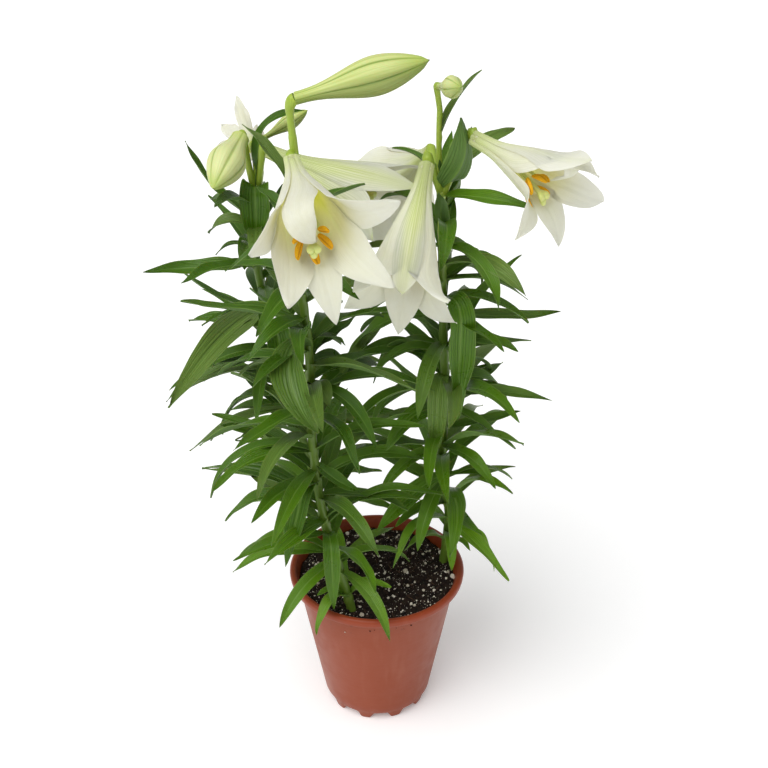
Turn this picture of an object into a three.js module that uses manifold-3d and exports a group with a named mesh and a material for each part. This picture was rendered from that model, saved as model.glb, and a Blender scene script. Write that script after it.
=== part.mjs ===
// A potted easter lily: three leafy stems with six open trumpets and four buds,
// in a plastic nursery pot filled with soil. Millimetres, +Z up.
// The origin is the middle of the pot's base on the surface it stands on, and
// the plant is seen from -Y with +X to the right.

import * as THREE from 'three';
import { mergeVertices } from 'three/addons/utils/BufferGeometryUtils.js';
import Module from 'manifold-3d';

const wasm = await Module();
wasm.setup();

// Driving dimensions

const GAP = 0.3; // between pieces that touch

const POT_HEIGHT = 156;
const RIM_RADIUS = 85;
const RIM_BAND = 9; // height of the rolled rim
const RIM_ROLL = 7.5; // how far the roll stands out of the wall
const WALL = 1.6;
const FLOOR_THICKNESS = 2;
const FLOOR_RADIUS = 42;
const FOOT_INNER_RADIUS = 44.5; // the foot ring, whose lugs carry the pot
const FOOT_OUTER_RADIUS = 50.5;
const BASE_RADIUS = 54; // outer radius of the wall at its lower edge
const FLOOR_UNDERSIDE = 2.5; // the floor hangs this far above the surface
const NOTCH_HEIGHT = 6.5; // the wall's lower edge between the foot lugs
const LUGS = 10;
const LUG_TURN = -42; // degrees from the front to the first lug
const SIDES_PER_LUG = 4;
const POT_SIDES = LUGS * SIDES_PER_LUG;
const DRAIN_HOLES = 5;
const DRAIN_HOLE_RADIUS = 4;
const DRAIN_RING_RADIUS = 30;

const SOIL_TOP = 145;
const SOIL_LUMP = 1.3; // height of the lumps in its top
const SOIL_SIDES = 24;
const STEM_FOOT = 112; // lower end of each stem in its hole

const STEM_RADIUS_LOW = 4.5;
const STEM_RADIUS_TOP = 3.4;
const STALK_RADIUS = 3.1;
const STALK_SWELL = 1.1; // the stalk thickens by this much under its flower
const STEM_SIDES = 6;
const STALK_SIDES = 5;

const LEAF_THICKNESS = 0.9;
const LEAF_CHANNEL = 0.09; // depth of the blade's channel as a share of its width
const LEAF_STEPS = 24; // steps that the midline is worked out in
const LEAF_STATIONS = [3, 10, 17]; // steps that carry a section
const BENT_LEAF_STATIONS = [3, 7, 12, 18];
const SPIRAL_LEAF_STATIONS = [4, 14];
const LEAF_CLEARANCE = 9; // between a leaf and another plant, flower or bud
const LEAF_SPACING = 4; // between a spiral leaf's outer part and its own plant's leaves

const TEPAL_THICKNESS = 0.9;
const TEPAL_STEPS = 40;
const TEPAL_STATIONS = [0, 12, 22, 29, 35];
const TEPAL_COLUMNS = [-1, -0.4, 0.4, 1];
const TUBE_RADIUS = 4.6; // inner whorl at the base of the trumpet
const WHORL_STEP = 1.3; // the outer whorl lies this far outside the inner one
const THROAT_SHARE = 0.6; // where the tepals part and flare
const TUBE_ANGLE = 3; // between a tepal and the axis at the base, in degrees
const FUNNEL_ANGLE = 20; // and at the throat
const INNER_HALF_WIDTH = 22; // largest half width of an inner tepal
const OUTER_HALF_WIDTH = 16;
const RECEPTACLE = 7; // height of the solid base that the tepals grow from

const STAMENS = 6;
const STAMEN_REACH = 0.6; // height of the shortest anther as a share of the tepals' length
const FILAMENT_RADIUS = 0.9;
const ANTHER_RADIUS = 2.1;
const ANTHER_LEAN = 13.5; // distance of the anthers from the axis
const STYLE_RADIUS = 1.3;
const STIGMA_RADIUS = 4.6;

const BUD_RIBS = 6;
const BUD_RIB_DEPTH = 0.06;
const BUD_STATIONS = [0, 0.2, 0.4, 0.6, 0.78, 0.93];

const GOLDEN_ANGLE = 137.5;

// Small helpers

const radians = THREE.MathUtils.degToRad;
const mix = THREE.MathUtils.lerp;

function vary(index, salt) {
  const wave = Math.sin(index * 12.9898 + salt * 78.233) * 43758.5453;
  return wave - Math.floor(wave);
}

function ramp(value) {
  const held = Math.min(1, Math.max(0, value));
  return held * held * (3 - 2 * held);
}

function heading(azimuth, elevation) {
  const flat = Math.cos(radians(elevation));
  return new THREE.Vector3(
    flat * Math.cos(radians(azimuth)),
    flat * Math.sin(radians(azimuth)),
    Math.sin(radians(elevation)),
  );
}

function point(coordinates) {
  return new THREE.Vector3(...coordinates);
}

function toGeometry(points, triangles) {
  const geometry = new THREE.BufferGeometry();
  const flat = points.flatMap((p) => [p.x, p.y, p.z]);
  geometry.setAttribute('position', new THREE.Float32BufferAttribute(flat, 3));
  geometry.setIndex(triangles.flat());
  return geometry;
}

function toSolid(geometry) {
  const bare = geometry.clone();
  bare.deleteAttribute('normal');
  bare.deleteAttribute('uv');
  const merged = mergeVertices(bare, 1e-4);
  const mesh = new wasm.Mesh({
    numProp: 3,
    vertProperties: merged.attributes.position.array,
    triVerts: Uint32Array.from(merged.index.array),
  });
  return new wasm.Manifold(mesh);
}

function fromSolid(solid) {
  const mesh = solid.getMesh();
  const geometry = new THREE.BufferGeometry();
  geometry.setAttribute('position', new THREE.Float32BufferAttribute(mesh.vertProperties, 3));
  geometry.setIndex(new THREE.Uint32BufferAttribute(mesh.triVerts, 1));
  return geometry;
}

function fuse(geometries) {
  const solids = geometries.map(toSolid);
  return solids.reduce((whole, solid) => whole.add(solid));
}

// Joins closed rings of points, all of one length, and closes both ends.
// A single last point closes the shape as a tip.
function loft(rings, tip = null) {
  const sides = rings[0].length;
  const points = rings.flat();
  const triangles = [];
  for (let i = 0; i < rings.length - 1; i += 1) {
    for (let k = 0; k < sides; k += 1) {
      const a = i * sides + k;
      const b = i * sides + ((k + 1) % sides);
      triangles.push([a, b, b + sides], [a, b + sides, a + sides]);
    }
  }
  for (let k = 1; k < sides - 1; k += 1) {
    triangles.push([0, k + 1, k]);
  }
  const last = (rings.length - 1) * sides;
  if (tip) {
    points.push(tip);
    for (let k = 0; k < sides; k += 1) {
      triangles.push([last + k, last + ((k + 1) % sides), points.length - 1]);
    }
  } else {
    for (let k = 1; k < sides - 1; k += 1) {
      triangles.push([last, last + k, last + k + 1]);
    }
  }
  return toGeometry(points, triangles);
}

function curveThrough(list) {
  return new THREE.CatmullRomCurve3(list, false, 'catmullrom', 0.5);
}

// A round tube along a smooth curve, its radius given at each share of the length
function tube(path, radiusAt, sides, steps) {
  const curve = curveThrough(path);
  const frames = curve.computeFrenetFrames(steps, false);
  const rings = [];
  for (let i = 0; i <= steps; i += 1) {
    const centre = curve.getPointAt(i / steps);
    const ring = [];
    for (let k = 0; k < sides; k += 1) {
      const turn = (k / sides) * Math.PI * 2;
      const spoke = frames.normals[i].clone().multiplyScalar(Math.cos(turn));
      spoke.addScaledVector(frames.binormals[i], Math.sin(turn));
      ring.push(centre.clone().addScaledVector(spoke, radiusAt(i / steps)));
    }
    rings.push(ring);
  }
  return loft(rings);
}

// Stems: points that the stem's axis goes through, from its foot in the soil to
// the base of its end bud

const STEMS = {
  front_left: [
    [-18, -54, STEM_FOOT],
    [-24, -53, 145],
    [-30, -51, 172],
    [-40, -48, 210],
    [-48, -46, 245],
    [-54, -45, 290],
    [-57, -45, 340],
    [-57, -45, 390],
    [-58, -45, 434],
    [-62, -45, 480],
    [-64, -46, 530],
    [-63, -47, 585],
    [-66, -47, 630],
  ],
  right: [
    [60, 20, STEM_FOOT],
    [66, 21, 145],
    [70, 18, 205],
    [65, 12, 240],
    [61, 6, 280],
    [62, 1, 320],
    [62, -3, 370],
    [59, -7, 430],
    [57, -10, 490],
    [55, -12, 550],
    [52, -13, 600],
    [52, -14, 640],
  ],
  back_left: [
    [-38, 50, STEM_FOOT],
    [-45, 54, 145],
    [-64, 59, 230],
    [-80, 60, 300],
    [-91, 60, 350],
    [-100, 60, 400],
    [-108, 60, 450],
    [-109, 61, 490],
    [-104, 63, 530],
    [-101, 64, 550],
  ],
};

function stemPoint(name, height) {
  const curve = curveThrough(STEMS[name].map(point));
  let low = 0;
  let high = 1;
  for (let pass = 0; pass < 24; pass += 1) {
    const middle = (low + high) / 2;
    if (curve.getPoint(middle).z < height) {
      low = middle;
    } else {
      high = middle;
    }
  }
  return curve.getPoint(low);
}

// Leaves seen from the front, each placed by hand: height of the root on the
// stem, azimuth in degrees (0 to the right, -90 to the front), slope at the root
// and at the tip, length and width. Options: bend gives the shares of the length
// where the slope starts and ends its change, and sweep turns the azimuth by the
// tip.

const LEAVES = {
  front_left: [
    [453, -166, 45, -15, 127, 17, { bend: [0, 0.4] }],
    [428, -118, 40, -85, 112, 34, { bend: [0.05, 0.4], sweep: 25 }],
    [436, 44, 5, -55, 50, 11],
    [425, 53, 10, 0, 63, 14],
    [416, 45, 0, -40, 62, 14],
    [397, -31, 5, -65, 102, 15],
    [385, -60, 60, -60, 45, 18],
    [322, -148, 5, -65, 122, 17],
    [311, -22, -30, 5, 56, 14],
    [276, 7, 5, -35, 86, 15],
    [284, -102, 30, -85, 96, 21, { bend: [0, 0.4] }],
    [255, -170, 0, -60, 104, 15],
    [240, -14, 35, -20, 88, 14],
    [230, -82, 40, -80, 92, 17, { bend: [0, 0.5] }],
    [207, -136, 5, -55, 88, 17],
    [201, 163, 10, -45, 105, 13],
    [195, 44, 20, -10, 75, 13],
    [189, -50, 10, -65, 92, 15],
    [160, -8, 60, -20, 50, 13],
    [157, -125, 55, -75, 72, 13],
    [158, -165, 65, -30, 38, 10],
    [536, 138, 40, 10, 58, 15],
    [528, 46, 60, 5, 68, 14],
    [532, 35, 60, 8, 86, 14],
  ],
  right: [
    [612, 10, 70, 62, 66, 8],
    [569, 37, 35, 5, 88, 17],
    [568, 150, 40, -10, 50, 13],
    [558, 68, 62, 85, 66, 21],
    [556, 110, 60, 70, 56, 16],
    [546, -120, 85, 80, 44, 10],
    [540, 60, 60, 62, 44, 16],
    [540, 135, 25, -45, 72, 14],
    [538, 5, 45, -30, 82, 14],
    [512, -105, 80, 68, 55, 15],
    [508, 70, 75, 68, 45, 13],
    [504, -31, 25, -50, 88, 18],
    [475, -20, 20, -45, 96, 14],
    [465, 11, 55, -70, 64, 15],
    [459, -57, 45, -68, 150, 28, { bend: [0, 0.35] }],
    [443, 7, -15, 15, 116, 14],
    [439, 180, -12, -62, 107, 18],
    [411, 156, 14, -66, 84, 13],
    [407, 7, 20, -20, 83, 11],
    [394, -171, 24, -56, 72, 13],
    [381, 22, 20, -50, 89, 13],
    [374, -105, 35, -85, 94, 20, { bend: [0, 0.4] }],
    [372, 145, 27, -10, 54, 13],
    [364, 166, 0, -60, 105, 13],
    [361, -6, 17, -23, 96, 13],
    [353, 50, 17, -13, 53, 10],
    [351, -7, -15, -40, 97, 14],
    [341, -137, 15, -50, 80, 20],
    [336, 51, 0, -40, 85, 11],
    [318, 20, 5, -2, 87, 13],
    [292, -32, 15, -50, 83, 17],
    [290, -153, 10, -50, 73, 14],
    [263, 22, 13, -37, 85, 13],
    [256, 0, 24, -46, 81, 13],
    [253, -112, -6, -66, 83, 17],
    [238, -79, 45, -85, 72, 13],
    [236, 26, 48, 28, 58, 11],
    [219, -161, 23, -27, 63, 13],
    [206, -45, 15, -52, 96, 17],
    [196, -21, 10, -80, 84, 15],
    [184, -84, 40, -60, 56, 14],
    [171, -139, 50, -20, 64, 13],
    [162, -20, 60, -40, 36, 10],
  ],
  back_left: [
    [515, 14, 85, 20, 98, 12],
    [520, -92, 70, -85, 78, 30, { bend: [0.1, 0.4] }],
    [500, 165, 30, 68, 106, 13],
    [492, -165, 40, -60, 62, 15],
    [488, 10, 50, 65, 52, 13],
    [470, -100, 40, -80, 62, 18],
    [454, -168, 22, -12, 102, 18],
    [418, 159, 0, 15, 88, 11],
    [412, -165, 35, -15, 85, 13],
    [405, -157, 5, -72, 134, 23],
    [390, -72, 30, -100, 98, 28, { bend: [0, 0.5] }],
    [367, 152, 12, -48, 119, 13],
    [360, 175, -5, -45, 122, 15],
    [325, -166, 18, -32, 86, 13],
    [318, -163, 5, -78, 118, 18],
    [315, 151, 2, -58, 99, 13],
    [304, 175, -3, -53, 123, 17],
    [298, 168, -12, -50, 112, 14],
    [292, -139, -5, -75, 66, 18],
  ],
};

// The other leaves follow the stem's own spiral: number of leaves, first height,
// height step and turn of the spiral
const SPIRALS = {
  front_left: { leaves: 48, foot: 200, step: 6.8, turn: 20 },
  right: { leaves: 48, foot: 190, step: 7.4, turn: 75 },
  back_left: { leaves: 46, foot: 158, step: 7.8, turn: 140 },
};

// Flowers: base of the trumpet, azimuth and elevation of its axis, roll, length
// of a tepal along its curve, and the end angle from the axis of each of the six
// tepals, the inner ones first. Turns moves single tepals round the axis, and
// broad narrows them.

const FLOWERS = {
  front: {
    base: [-66, -58, 607],
    azimuth: -78,
    elevation: -8,
    roll: 67,
    length: 150,
    flare: [55, -140, 25, 66, 48, 46],
    turns: [-7, 54, 7, -2, 4, 0],
    broad: [1, 0.6, 1, 1, 1, 1],
  },
  centre: {
    base: [44, -27, 590],
    azimuth: -107,
    elevation: -49,
    roll: -13,
    length: 143,
    flare: [15, 65, 55, 80, 62, 66],
    turns: [3, 27, -22, -18, -1, 12],
  },
  right: {
    base: [68, -25, 606],
    azimuth: -54,
    elevation: -5,
    roll: 7,
    length: 134,
    flare: [92, 30, -128, 85, 36, 50],
    turns: [20, 18, -50, 5, 4, -22],
    broad: [1, 1, 0.7, 1, 1, 1],
  },
  back_right: {
    base: [46, 29, 592],
    azimuth: 110,
    elevation: -42,
    roll: 10,
    length: 118,
    flare: [40, 40, 40, 40, 40, 40],
  },
  long: {
    base: [-93, 54, 568],
    azimuth: -20,
    elevation: -17,
    roll: 30,
    length: 145,
    flare: [60, 12, 60, 10, 14, 60],
  },
  back_left: {
    base: [-108, 76, 562],
    azimuth: 104,
    elevation: -12,
    roll: 0,
    length: 92,
    flare: [40, 40, 40, 40, 40, 40],
  },
};

// Buds: base, azimuth and elevation, length, largest radius and its share
const BUDS = {
  large: { base: [-62, -47, 654], azimuth: 0, elevation: 15, length: 107, radius: 15.5, widest: 0.66 },
  pale: { base: [-116, 56, 574], azimuth: -110, elevation: -20, length: 64, radius: 16, widest: 0.55 },
  small_left: { base: [-98, 72, 572], azimuth: 6, elevation: 32, length: 46, radius: 7, widest: 0.6 },
  small_right: { base: [51, -18, 653], azimuth: -50, elevation: 14, length: 26, radius: 9, widest: 0.6 },
};

// Which stem carries each flower and bud, and the height where its stalk leaves it
const STALKS = {
  front: { stem: 'front_left', leaves: 540, lift: [-67, -44, 600] },
  large: { stem: 'front_left', leaves: 620 },
  centre: { stem: 'right', leaves: 555 },
  right: { stem: 'right', leaves: 552 },
  back_right: { stem: 'right', leaves: 560 },
  small_right: { stem: 'right', leaves: 632 },
  long: { stem: 'back_left', leaves: 520 },
  back_left: { stem: 'back_left', leaves: 528 },
  pale: { stem: 'back_left', leaves: 515 },
  small_left: { stem: 'back_left', leaves: 540 },
};

// Leaf geometry

// The blade's midline and its frame, in equal steps from the root to the tip.
// The slope goes from rise to droop over the bend, and the azimuth by the sweep.
function leafMidline(root, row) {
  const [, azimuth, rise, droop, length, , options = {}] = row;
  const { bend = [0, 1], sweep = 0 } = options;
  const middle = root.clone();
  const line = [];
  for (let i = 0; i <= LEAF_STEPS; i += 1) {
    const share = i / LEAF_STEPS;
    const slopeAt = (s) => mix(rise, droop, ramp((s - bend[0]) / (bend[1] - bend[0])));
    const turn = azimuth + sweep * share;
    const along = heading(turn, slopeAt(share));
    const across = heading(turn + 90, 0);
    const up = new THREE.Vector3().crossVectors(along, across);
    line.push({ middle: middle.clone(), across, up });
    const next = share + 0.5 / LEAF_STEPS;
    middle.addScaledVector(heading(azimuth + sweep * next, slopeAt(next)), length / LEAF_STEPS);
  }
  return line;
}

// Half the blade's width as a share of its largest: narrow at the root, widest
// before the middle, drawn out to a point
function leafOutline(share) {
  const widest = 0.42;
  if (share < widest) {
    return 0.28 + 0.72 * Math.sin((share / widest) * Math.PI * 0.5) ** 0.8;
  }
  return Math.cos(((share - widest) / (1 - widest)) * Math.PI * 0.5) ** 0.8;
}

function leafSection(station, share, width) {
  const half = leafOutline(share) * width * 0.5;
  const channel = half * 2 * LEAF_CHANNEL;
  const { middle, across, up } = station;
  return {
    left: middle.clone().addScaledVector(across, half).addScaledVector(up, channel),
    right: middle.clone().addScaledVector(across, -half).addScaledVector(up, channel),
    keel: middle.clone().addScaledVector(up, channel - LEAF_THICKNESS),
  };
}

// A thin keeled blade from a point on the stem's axis to the tip
function leafBlade(root, row, stations) {
  const width = row[5];
  const line = leafMidline(root, row);
  const points = [];
  for (const step of stations) {
    const section = leafSection(line[step], step / LEAF_STEPS, width);
    points.push(section.left, section.right, section.keel);
  }
  const end = points.length - 3;
  const foot = points.push(line[0].middle) - 1;
  const tip = points.push(line[LEAF_STEPS].middle) - 1;
  const triangles = [];
  for (let k = 0; k < 3; k += 1) {
    const next = (k + 1) % 3;
    triangles.push([foot, next, k], [end + k, end + next, tip]);
    for (let base = 0; base < end; base += 3) {
      triangles.push([base + k, base + next, base + next + 3]);
      triangles.push([base + k, base + next + 3, base + k + 3]);
    }
  }
  return toGeometry(points, triangles);
}

// Places on a leaf that the search for clear leaves looks at
function leafSamples(root, row) {
  const line = leafMidline(root, row);
  const samples = [];
  for (let i = 3; i <= LEAF_STEPS; i += 3) {
    const section = leafSection(line[i], i / LEAF_STEPS, row[5]);
    samples.push(section.left, section.right, section.keel);
  }
  return samples;
}

// Flower geometry

// Angle between a tepal's midline and the trumpet's axis, from the slim tube over
// the funnel to the flared end
function tepalAngle(share, flare) {
  const funnel = mix(TUBE_ANGLE, FUNNEL_ANGLE, ramp(share / 0.42));
  return mix(funnel, flare, ramp((share - THROAT_SHARE + 0.06) / (1.06 - THROAT_SHARE)));
}

// Half width: an angle of the tube, held under the tepal's own outline
function tepalHalfWidth(share, radius, inner, broad) {
  const spread = radius * (inner ? 0.68 : 0.6);
  const largest = (inner ? INNER_HALF_WIDTH : OUTER_HALF_WIDTH) * broad;
  const open = Math.max(0, (share - 0.56) / 0.44);
  const outline = largest * Math.cos(open * Math.PI * 0.5) ** 0.8;
  return Math.min(spread, outline);
}

// Rows of a tepal's middle surface in the flower's own frame, its axis along +Z
function tepalRows(flower, index) {
  const inner = index < 3;
  const own = flower.turns?.[index] ?? 0;
  const broad = flower.broad?.[index] ?? 1;
  const place = flower.roll + (index % 3) * 120 + (inner ? 0 : 60);
  const axis = new THREE.Vector3(0, 0, 1);
  let radius = TUBE_RADIUS + (inner ? 0 : WHORL_STEP);
  let height = 0;
  const rows = [];
  for (let i = 0; i <= TEPAL_STEPS; i += 1) {
    const share = i / TEPAL_STEPS;
    const angle = radians(tepalAngle(share, flower.flare[index]));
    const turn = place + own * ramp((share - 0.35) / 0.4);
    const out = heading(turn, 0);
    const side = heading(turn + 90, 0);
    const middle = out.clone().multiplyScalar(radius).addScaledVector(axis, height);
    const outward = out.clone().multiplyScalar(Math.cos(angle));
    outward.addScaledVector(axis, -Math.sin(angle));
    const half = tepalHalfWidth(share, radius, inner, broad);
    const bow = radius * (1 + 1.2 * ramp((share - THROAT_SHARE) / 0.3));
    rows.push({ middle, outward, side, half, bow });
    const next = radians(tepalAngle(share + 0.5 / TEPAL_STEPS, flower.flare[index]));
    radius += (Math.sin(next) * flower.length) / TEPAL_STEPS;
    height += (Math.cos(next) * flower.length) / TEPAL_STEPS;
  }
  return rows;
}

// A point across the tepal: column runs from -1 to 1, lift is along the outside
function tepalPoint(row, column, lift) {
  const arc = (column * row.half) / row.bow;
  const reach = row.bow + lift;
  const at = row.middle.clone().addScaledVector(row.side, Math.sin(arc) * reach);
  return at.addScaledVector(row.outward, Math.cos(arc) * reach - row.bow);
}

function tepal(flower, index) {
  const rows = tepalRows(flower, index);
  const inner = TEPAL_COLUMNS.slice(1, -1).reverse();
  const rings = TEPAL_STATIONS.map((step) => {
    const row = rows[step];
    const ring = [tepalPoint(row, -1, 0)];
    TEPAL_COLUMNS.slice(1, -1).forEach((c) => ring.push(tepalPoint(row, c, TEPAL_THICKNESS / 2)));
    ring.push(tepalPoint(row, 1, 0));
    inner.forEach((c) => ring.push(tepalPoint(row, c, -TEPAL_THICKNESS / 2)));
    return ring;
  });
  const sides = rings[0].length;
  const points = rings.flat();
  const tip = points.length;
  points.push(rows[TEPAL_STEPS].middle);
  const triangles = [];
  for (let base = 0; base < tip - sides; base += sides) {
    for (let k = 0; k < sides; k += 1) {
      const a = base + k;
      const b = base + ((k + 1) % sides);
      if (k < sides / 2) {
        triangles.push([a, b, b + sides], [a, b + sides, a + sides]);
      } else {
        triangles.push([a, b, a + sides], [b, b + sides, a + sides]);
      }
    }
  }
  for (let k = 1; k < sides - 1; k += 1) {
    triangles.push([0, k + 1, k]);
  }
  for (let k = 0; k < sides; k += 1) {
    triangles.push([tip - sides + k, tip - sides + ((k + 1) % sides), tip]);
  }
  return toGeometry(points, triangles);
}

// Turns the flower's own frame, with its axis along +Z, to where the flower is
function placement(piece) {
  const axis = heading(piece.azimuth, piece.elevation);
  const side = heading(piece.azimuth + 90, 0);
  const top = new THREE.Vector3().crossVectors(side, axis);
  const matrix = new THREE.Matrix4().makeBasis(top, side, axis);
  matrix.setPosition(point(piece.base));
  return matrix;
}

// A solid of revolution about +Z from a profile of [radius, height] pairs
function turned(profile, sides) {
  const outline = profile.map(([radius, height]) => new THREE.Vector2(radius, height));
  const geometry = new THREE.LatheGeometry(outline, sides);
  geometry.rotateX(Math.PI / 2);
  return geometry;
}

function perianth(flower) {
  const radius = TUBE_RADIUS + WHORL_STEP;
  const receptacle = turned(
    [
      [0, 0],
      [radius, 0],
      [radius * 1.1, RECEPTACLE * 0.6],
      [0, RECEPTACLE],
    ],
    6,
  );
  const pieces = [receptacle];
  for (let index = 0; index < 6; index += 1) {
    pieces.push(tepal(flower, index));
  }
  const geometry = fromSolid(fuse(pieces));
  geometry.applyMatrix4(placement(flower));
  return geometry;
}

// Six filaments ending in anthers, round a longer style with a three-lobed
// stigma, all grown from one short base
function stamensAndPistil(flower) {
  const foot = RECEPTACLE + GAP;
  const reach = flower.length * STAMEN_REACH;
  const base = turned(
    [
      [0, foot],
      [FILAMENT_RADIUS * 3, foot],
      [0, foot + 7],
    ],
    6,
  );
  const pieces = [base, loft(styleRings(flower))];
  for (let k = 0; k < STAMENS; k += 1) {
    const { rings, tip } = stamenRings(flower, k);
    pieces.push(loft(rings, tip));
  }
  const geometry = fromSolid(fuse(pieces));
  geometry.applyMatrix4(placement(flower));
  return geometry;
}

// A slim column with three lobes at its end
function styleRings(flower) {
  const end = flower.length * STAMEN_REACH + 15;
  const levels = [
    { height: RECEPTACLE + GAP + 1, lobe: STYLE_RADIUS, dip: STYLE_RADIUS },
    { height: end - 7, lobe: STYLE_RADIUS, dip: STYLE_RADIUS },
    { height: end - 3, lobe: STIGMA_RADIUS, dip: STIGMA_RADIUS * 0.6 },
    { height: end, lobe: STIGMA_RADIUS * 0.75, dip: STIGMA_RADIUS * 0.45 },
  ];
  return levels.map(({ height, lobe, dip }) =>
    [0, 1, 2, 3, 4, 5].map((k) => heading(k * 60, 0).multiplyScalar(k % 2 ? dip : lobe).setZ(height)),
  );
}

// A slim three-sided filament that leans outwards and carries its anther along
// its end
function stamenRings(flower, index) {
  const turn = flower.roll + (index * 360) / STAMENS;
  const reach = flower.length * STAMEN_REACH + 6 * vary(index, 3);
  const out = heading(turn, 0);
  const side = heading(turn + 90, 0);
  const levels = [
    { height: RECEPTACLE + GAP + 2, lean: 0.1, radius: FILAMENT_RADIUS },
    { height: reach * 0.6, lean: 0.37, radius: FILAMENT_RADIUS },
    { height: reach - 7, lean: 0.8, radius: FILAMENT_RADIUS },
    { height: reach - 1, lean: 1, radius: ANTHER_RADIUS },
  ];
  const rings = levels.map(({ height, lean, radius }) =>
    [0, 120, 240].map((angle) => {
      const place = out.clone().multiplyScalar(lean * ANTHER_LEAN);
      place.addScaledVector(out, Math.cos(radians(angle)) * radius);
      return place.addScaledVector(side, Math.sin(radians(angle)) * radius).setZ(height);
    }),
  );
  return { rings, tip: out.clone().multiplyScalar(ANTHER_LEAN + 2).setZ(reach + 6) };
}

// Bud geometry: six ribs, swelling slowly and closed to a blunt point

function budRadius(bud, share) {
  const foot = 0.34;
  const end = 0.1;
  if (share < bud.widest) {
    return bud.radius * mix(foot, 1, ramp(share / bud.widest) ** 1.15);
  }
  const past = (share - bud.widest) / (1 - bud.widest);
  return bud.radius * mix(1, end, past ** 2.2);
}

function budRings(bud) {
  const sides = BUD_RIBS * 2;
  return BUD_STATIONS.map((share) => {
    const ring = [];
    for (let k = 0; k < sides; k += 1) {
      const rib = k % 2 ? 1 - BUD_RIB_DEPTH : 1 + BUD_RIB_DEPTH;
      const radius = budRadius(bud, share) * rib;
      ring.push(heading((k * 360) / sides, 0).multiplyScalar(radius).setZ(share * bud.length));
    }
    return ring;
  });
}

function budBody(bud) {
  const geometry = loft(budRings(bud), new THREE.Vector3(0, 0, bud.length));
  geometry.applyMatrix4(placement(bud));
  return geometry;
}

// Leafy stems

function stalk(name) {
  const { stem, leaves, lift } = STALKS[name];
  const piece = FLOWERS[name] ?? BUDS[name];
  const axis = heading(piece.azimuth, piece.elevation);
  const end = point(piece.base).addScaledVector(axis, -GAP);
  const path = [stemPoint(stem, leaves - 8), stemPoint(stem, leaves)];
  if (lift) {
    path.push(point(lift));
  }
  path.push(end.clone().addScaledVector(axis, -9), end);
  const radiusAt = (share) => STALK_RADIUS + STALK_SWELL * ramp((share - 0.75) / 0.25);
  return tube(path, radiusAt, STALK_SIDES, lift ? 7 : 5);
}

function stemTube(name, extra = 0) {
  const path = STEMS[name].map(point);
  const radiusAt = (share) => mix(STEM_RADIUS_LOW, STEM_RADIUS_TOP, share) + extra;
  return tube(path, radiusAt, STEM_SIDES, 10);
}

// Every place that a leaf of a plant has to keep clear of: points on the other
// plants, the flowers and the buds, each with the name of the plant that owns it
const taken = [];

function take(owner, samples) {
  samples.forEach((place) => taken.push({ owner, place }));
}

function budSamples(bud) {
  return budRings(bud)
    .flat()
    .map((place) => place.applyMatrix4(placement(bud)));
}

// Places on a flower's tepals, style and stamens
function flowerSamples(flower) {
  const samples = styleRings(flower).flat();
  for (let index = 0; index < 6; index += 1) {
    const rows = tepalRows(flower, index);
    for (let step = 0; step <= TEPAL_STEPS; step += 5) {
      [-1, 0, 1].forEach((column) => samples.push(tepalPoint(rows[step], column, 0)));
    }
  }
  for (let k = 0; k < STAMENS; k += 1) {
    const { rings, tip } = stamenRings(flower, k);
    samples.push(...rings.flat(), tip);
  }
  return samples.map((place) => place.applyMatrix4(placement(flower)));
}

function inPot(place) {
  const radius = Math.hypot(place.x, place.y);
  return place.z < SOIL_TOP + 5 || (radius > 68 && radius < 95 && place.z < POT_HEIGHT + 8);
}

function isClear(owner, samples) {
  return samples.every((sample, index) => {
    const own = index < samples.length / 3 ? 0 : LEAF_SPACING;
    return (
      !inPot(sample) &&
      taken.every((t) => t.place.distanceTo(sample) > (t.owner === owner ? own : LEAF_CLEARANCE))
    );
  });
}

function spiralRow(name, index) {
  const { foot, step, turn } = SPIRALS[name];
  const height = foot + index * step;
  const share = index / SPIRALS[name].leaves;
  const length = mix(80, 112, Math.sin(Math.PI * Math.min(1, share * 1.15 + 0.1)));
  return [
    height,
    turn + index * GOLDEN_ANGLE,
    mix(20, 42, vary(index, 1)),
    mix(-55, -15, vary(index, 2)),
    length * mix(0.88, 1.1, vary(index, 4)),
    mix(14, 19, vary(index, 5)),
    { sweep: mix(-25, 25, vary(index, 6)) },
  ];
}

// Tries the spiral's own azimuth first, then turns further to either side
function spiralLeaves(name) {
  const rows = [];
  for (let index = 0; index < SPIRALS[name].leaves; index += 1) {
    const row = spiralRow(name, index);
    const root = stemPoint(name, row[0]);
    for (const turn of [0, 14, -14, 28, -28, 42, -42]) {
      const tried = [...row];
      tried[1] += turn;
      const samples = leafSamples(root, tried);
      if (isClear(name, samples)) {
        take(name, samples);
        rows.push(tried);
        break;
      }
    }
  }
  return rows;
}

function leafyStem(name) {
  const pieces = [stemTube(name)];
  Object.keys(STALKS)
    .filter((key) => STALKS[key].stem === name)
    .forEach((key) => pieces.push(stalk(key)));
  for (const row of LEAVES[name]) {
    const stations = row[6]?.bend ? BENT_LEAF_STATIONS : LEAF_STATIONS;
    pieces.push(leafBlade(stemPoint(name, row[0]), row, stations));
  }
  for (const row of spiralLeaves(name)) {
    pieces.push(leafBlade(stemPoint(name, row[0]), row, SPIRAL_LEAF_STATIONS));
  }
  return fromSolid(fuse(pieces));
}

// Pot and soil

function wallRadius(height) {
  const top = RIM_RADIUS - RIM_ROLL;
  return mix(BASE_RADIUS, top, (height - NOTCH_HEIGHT) / (POT_HEIGHT - RIM_BAND - NOTCH_HEIGHT));
}

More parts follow.
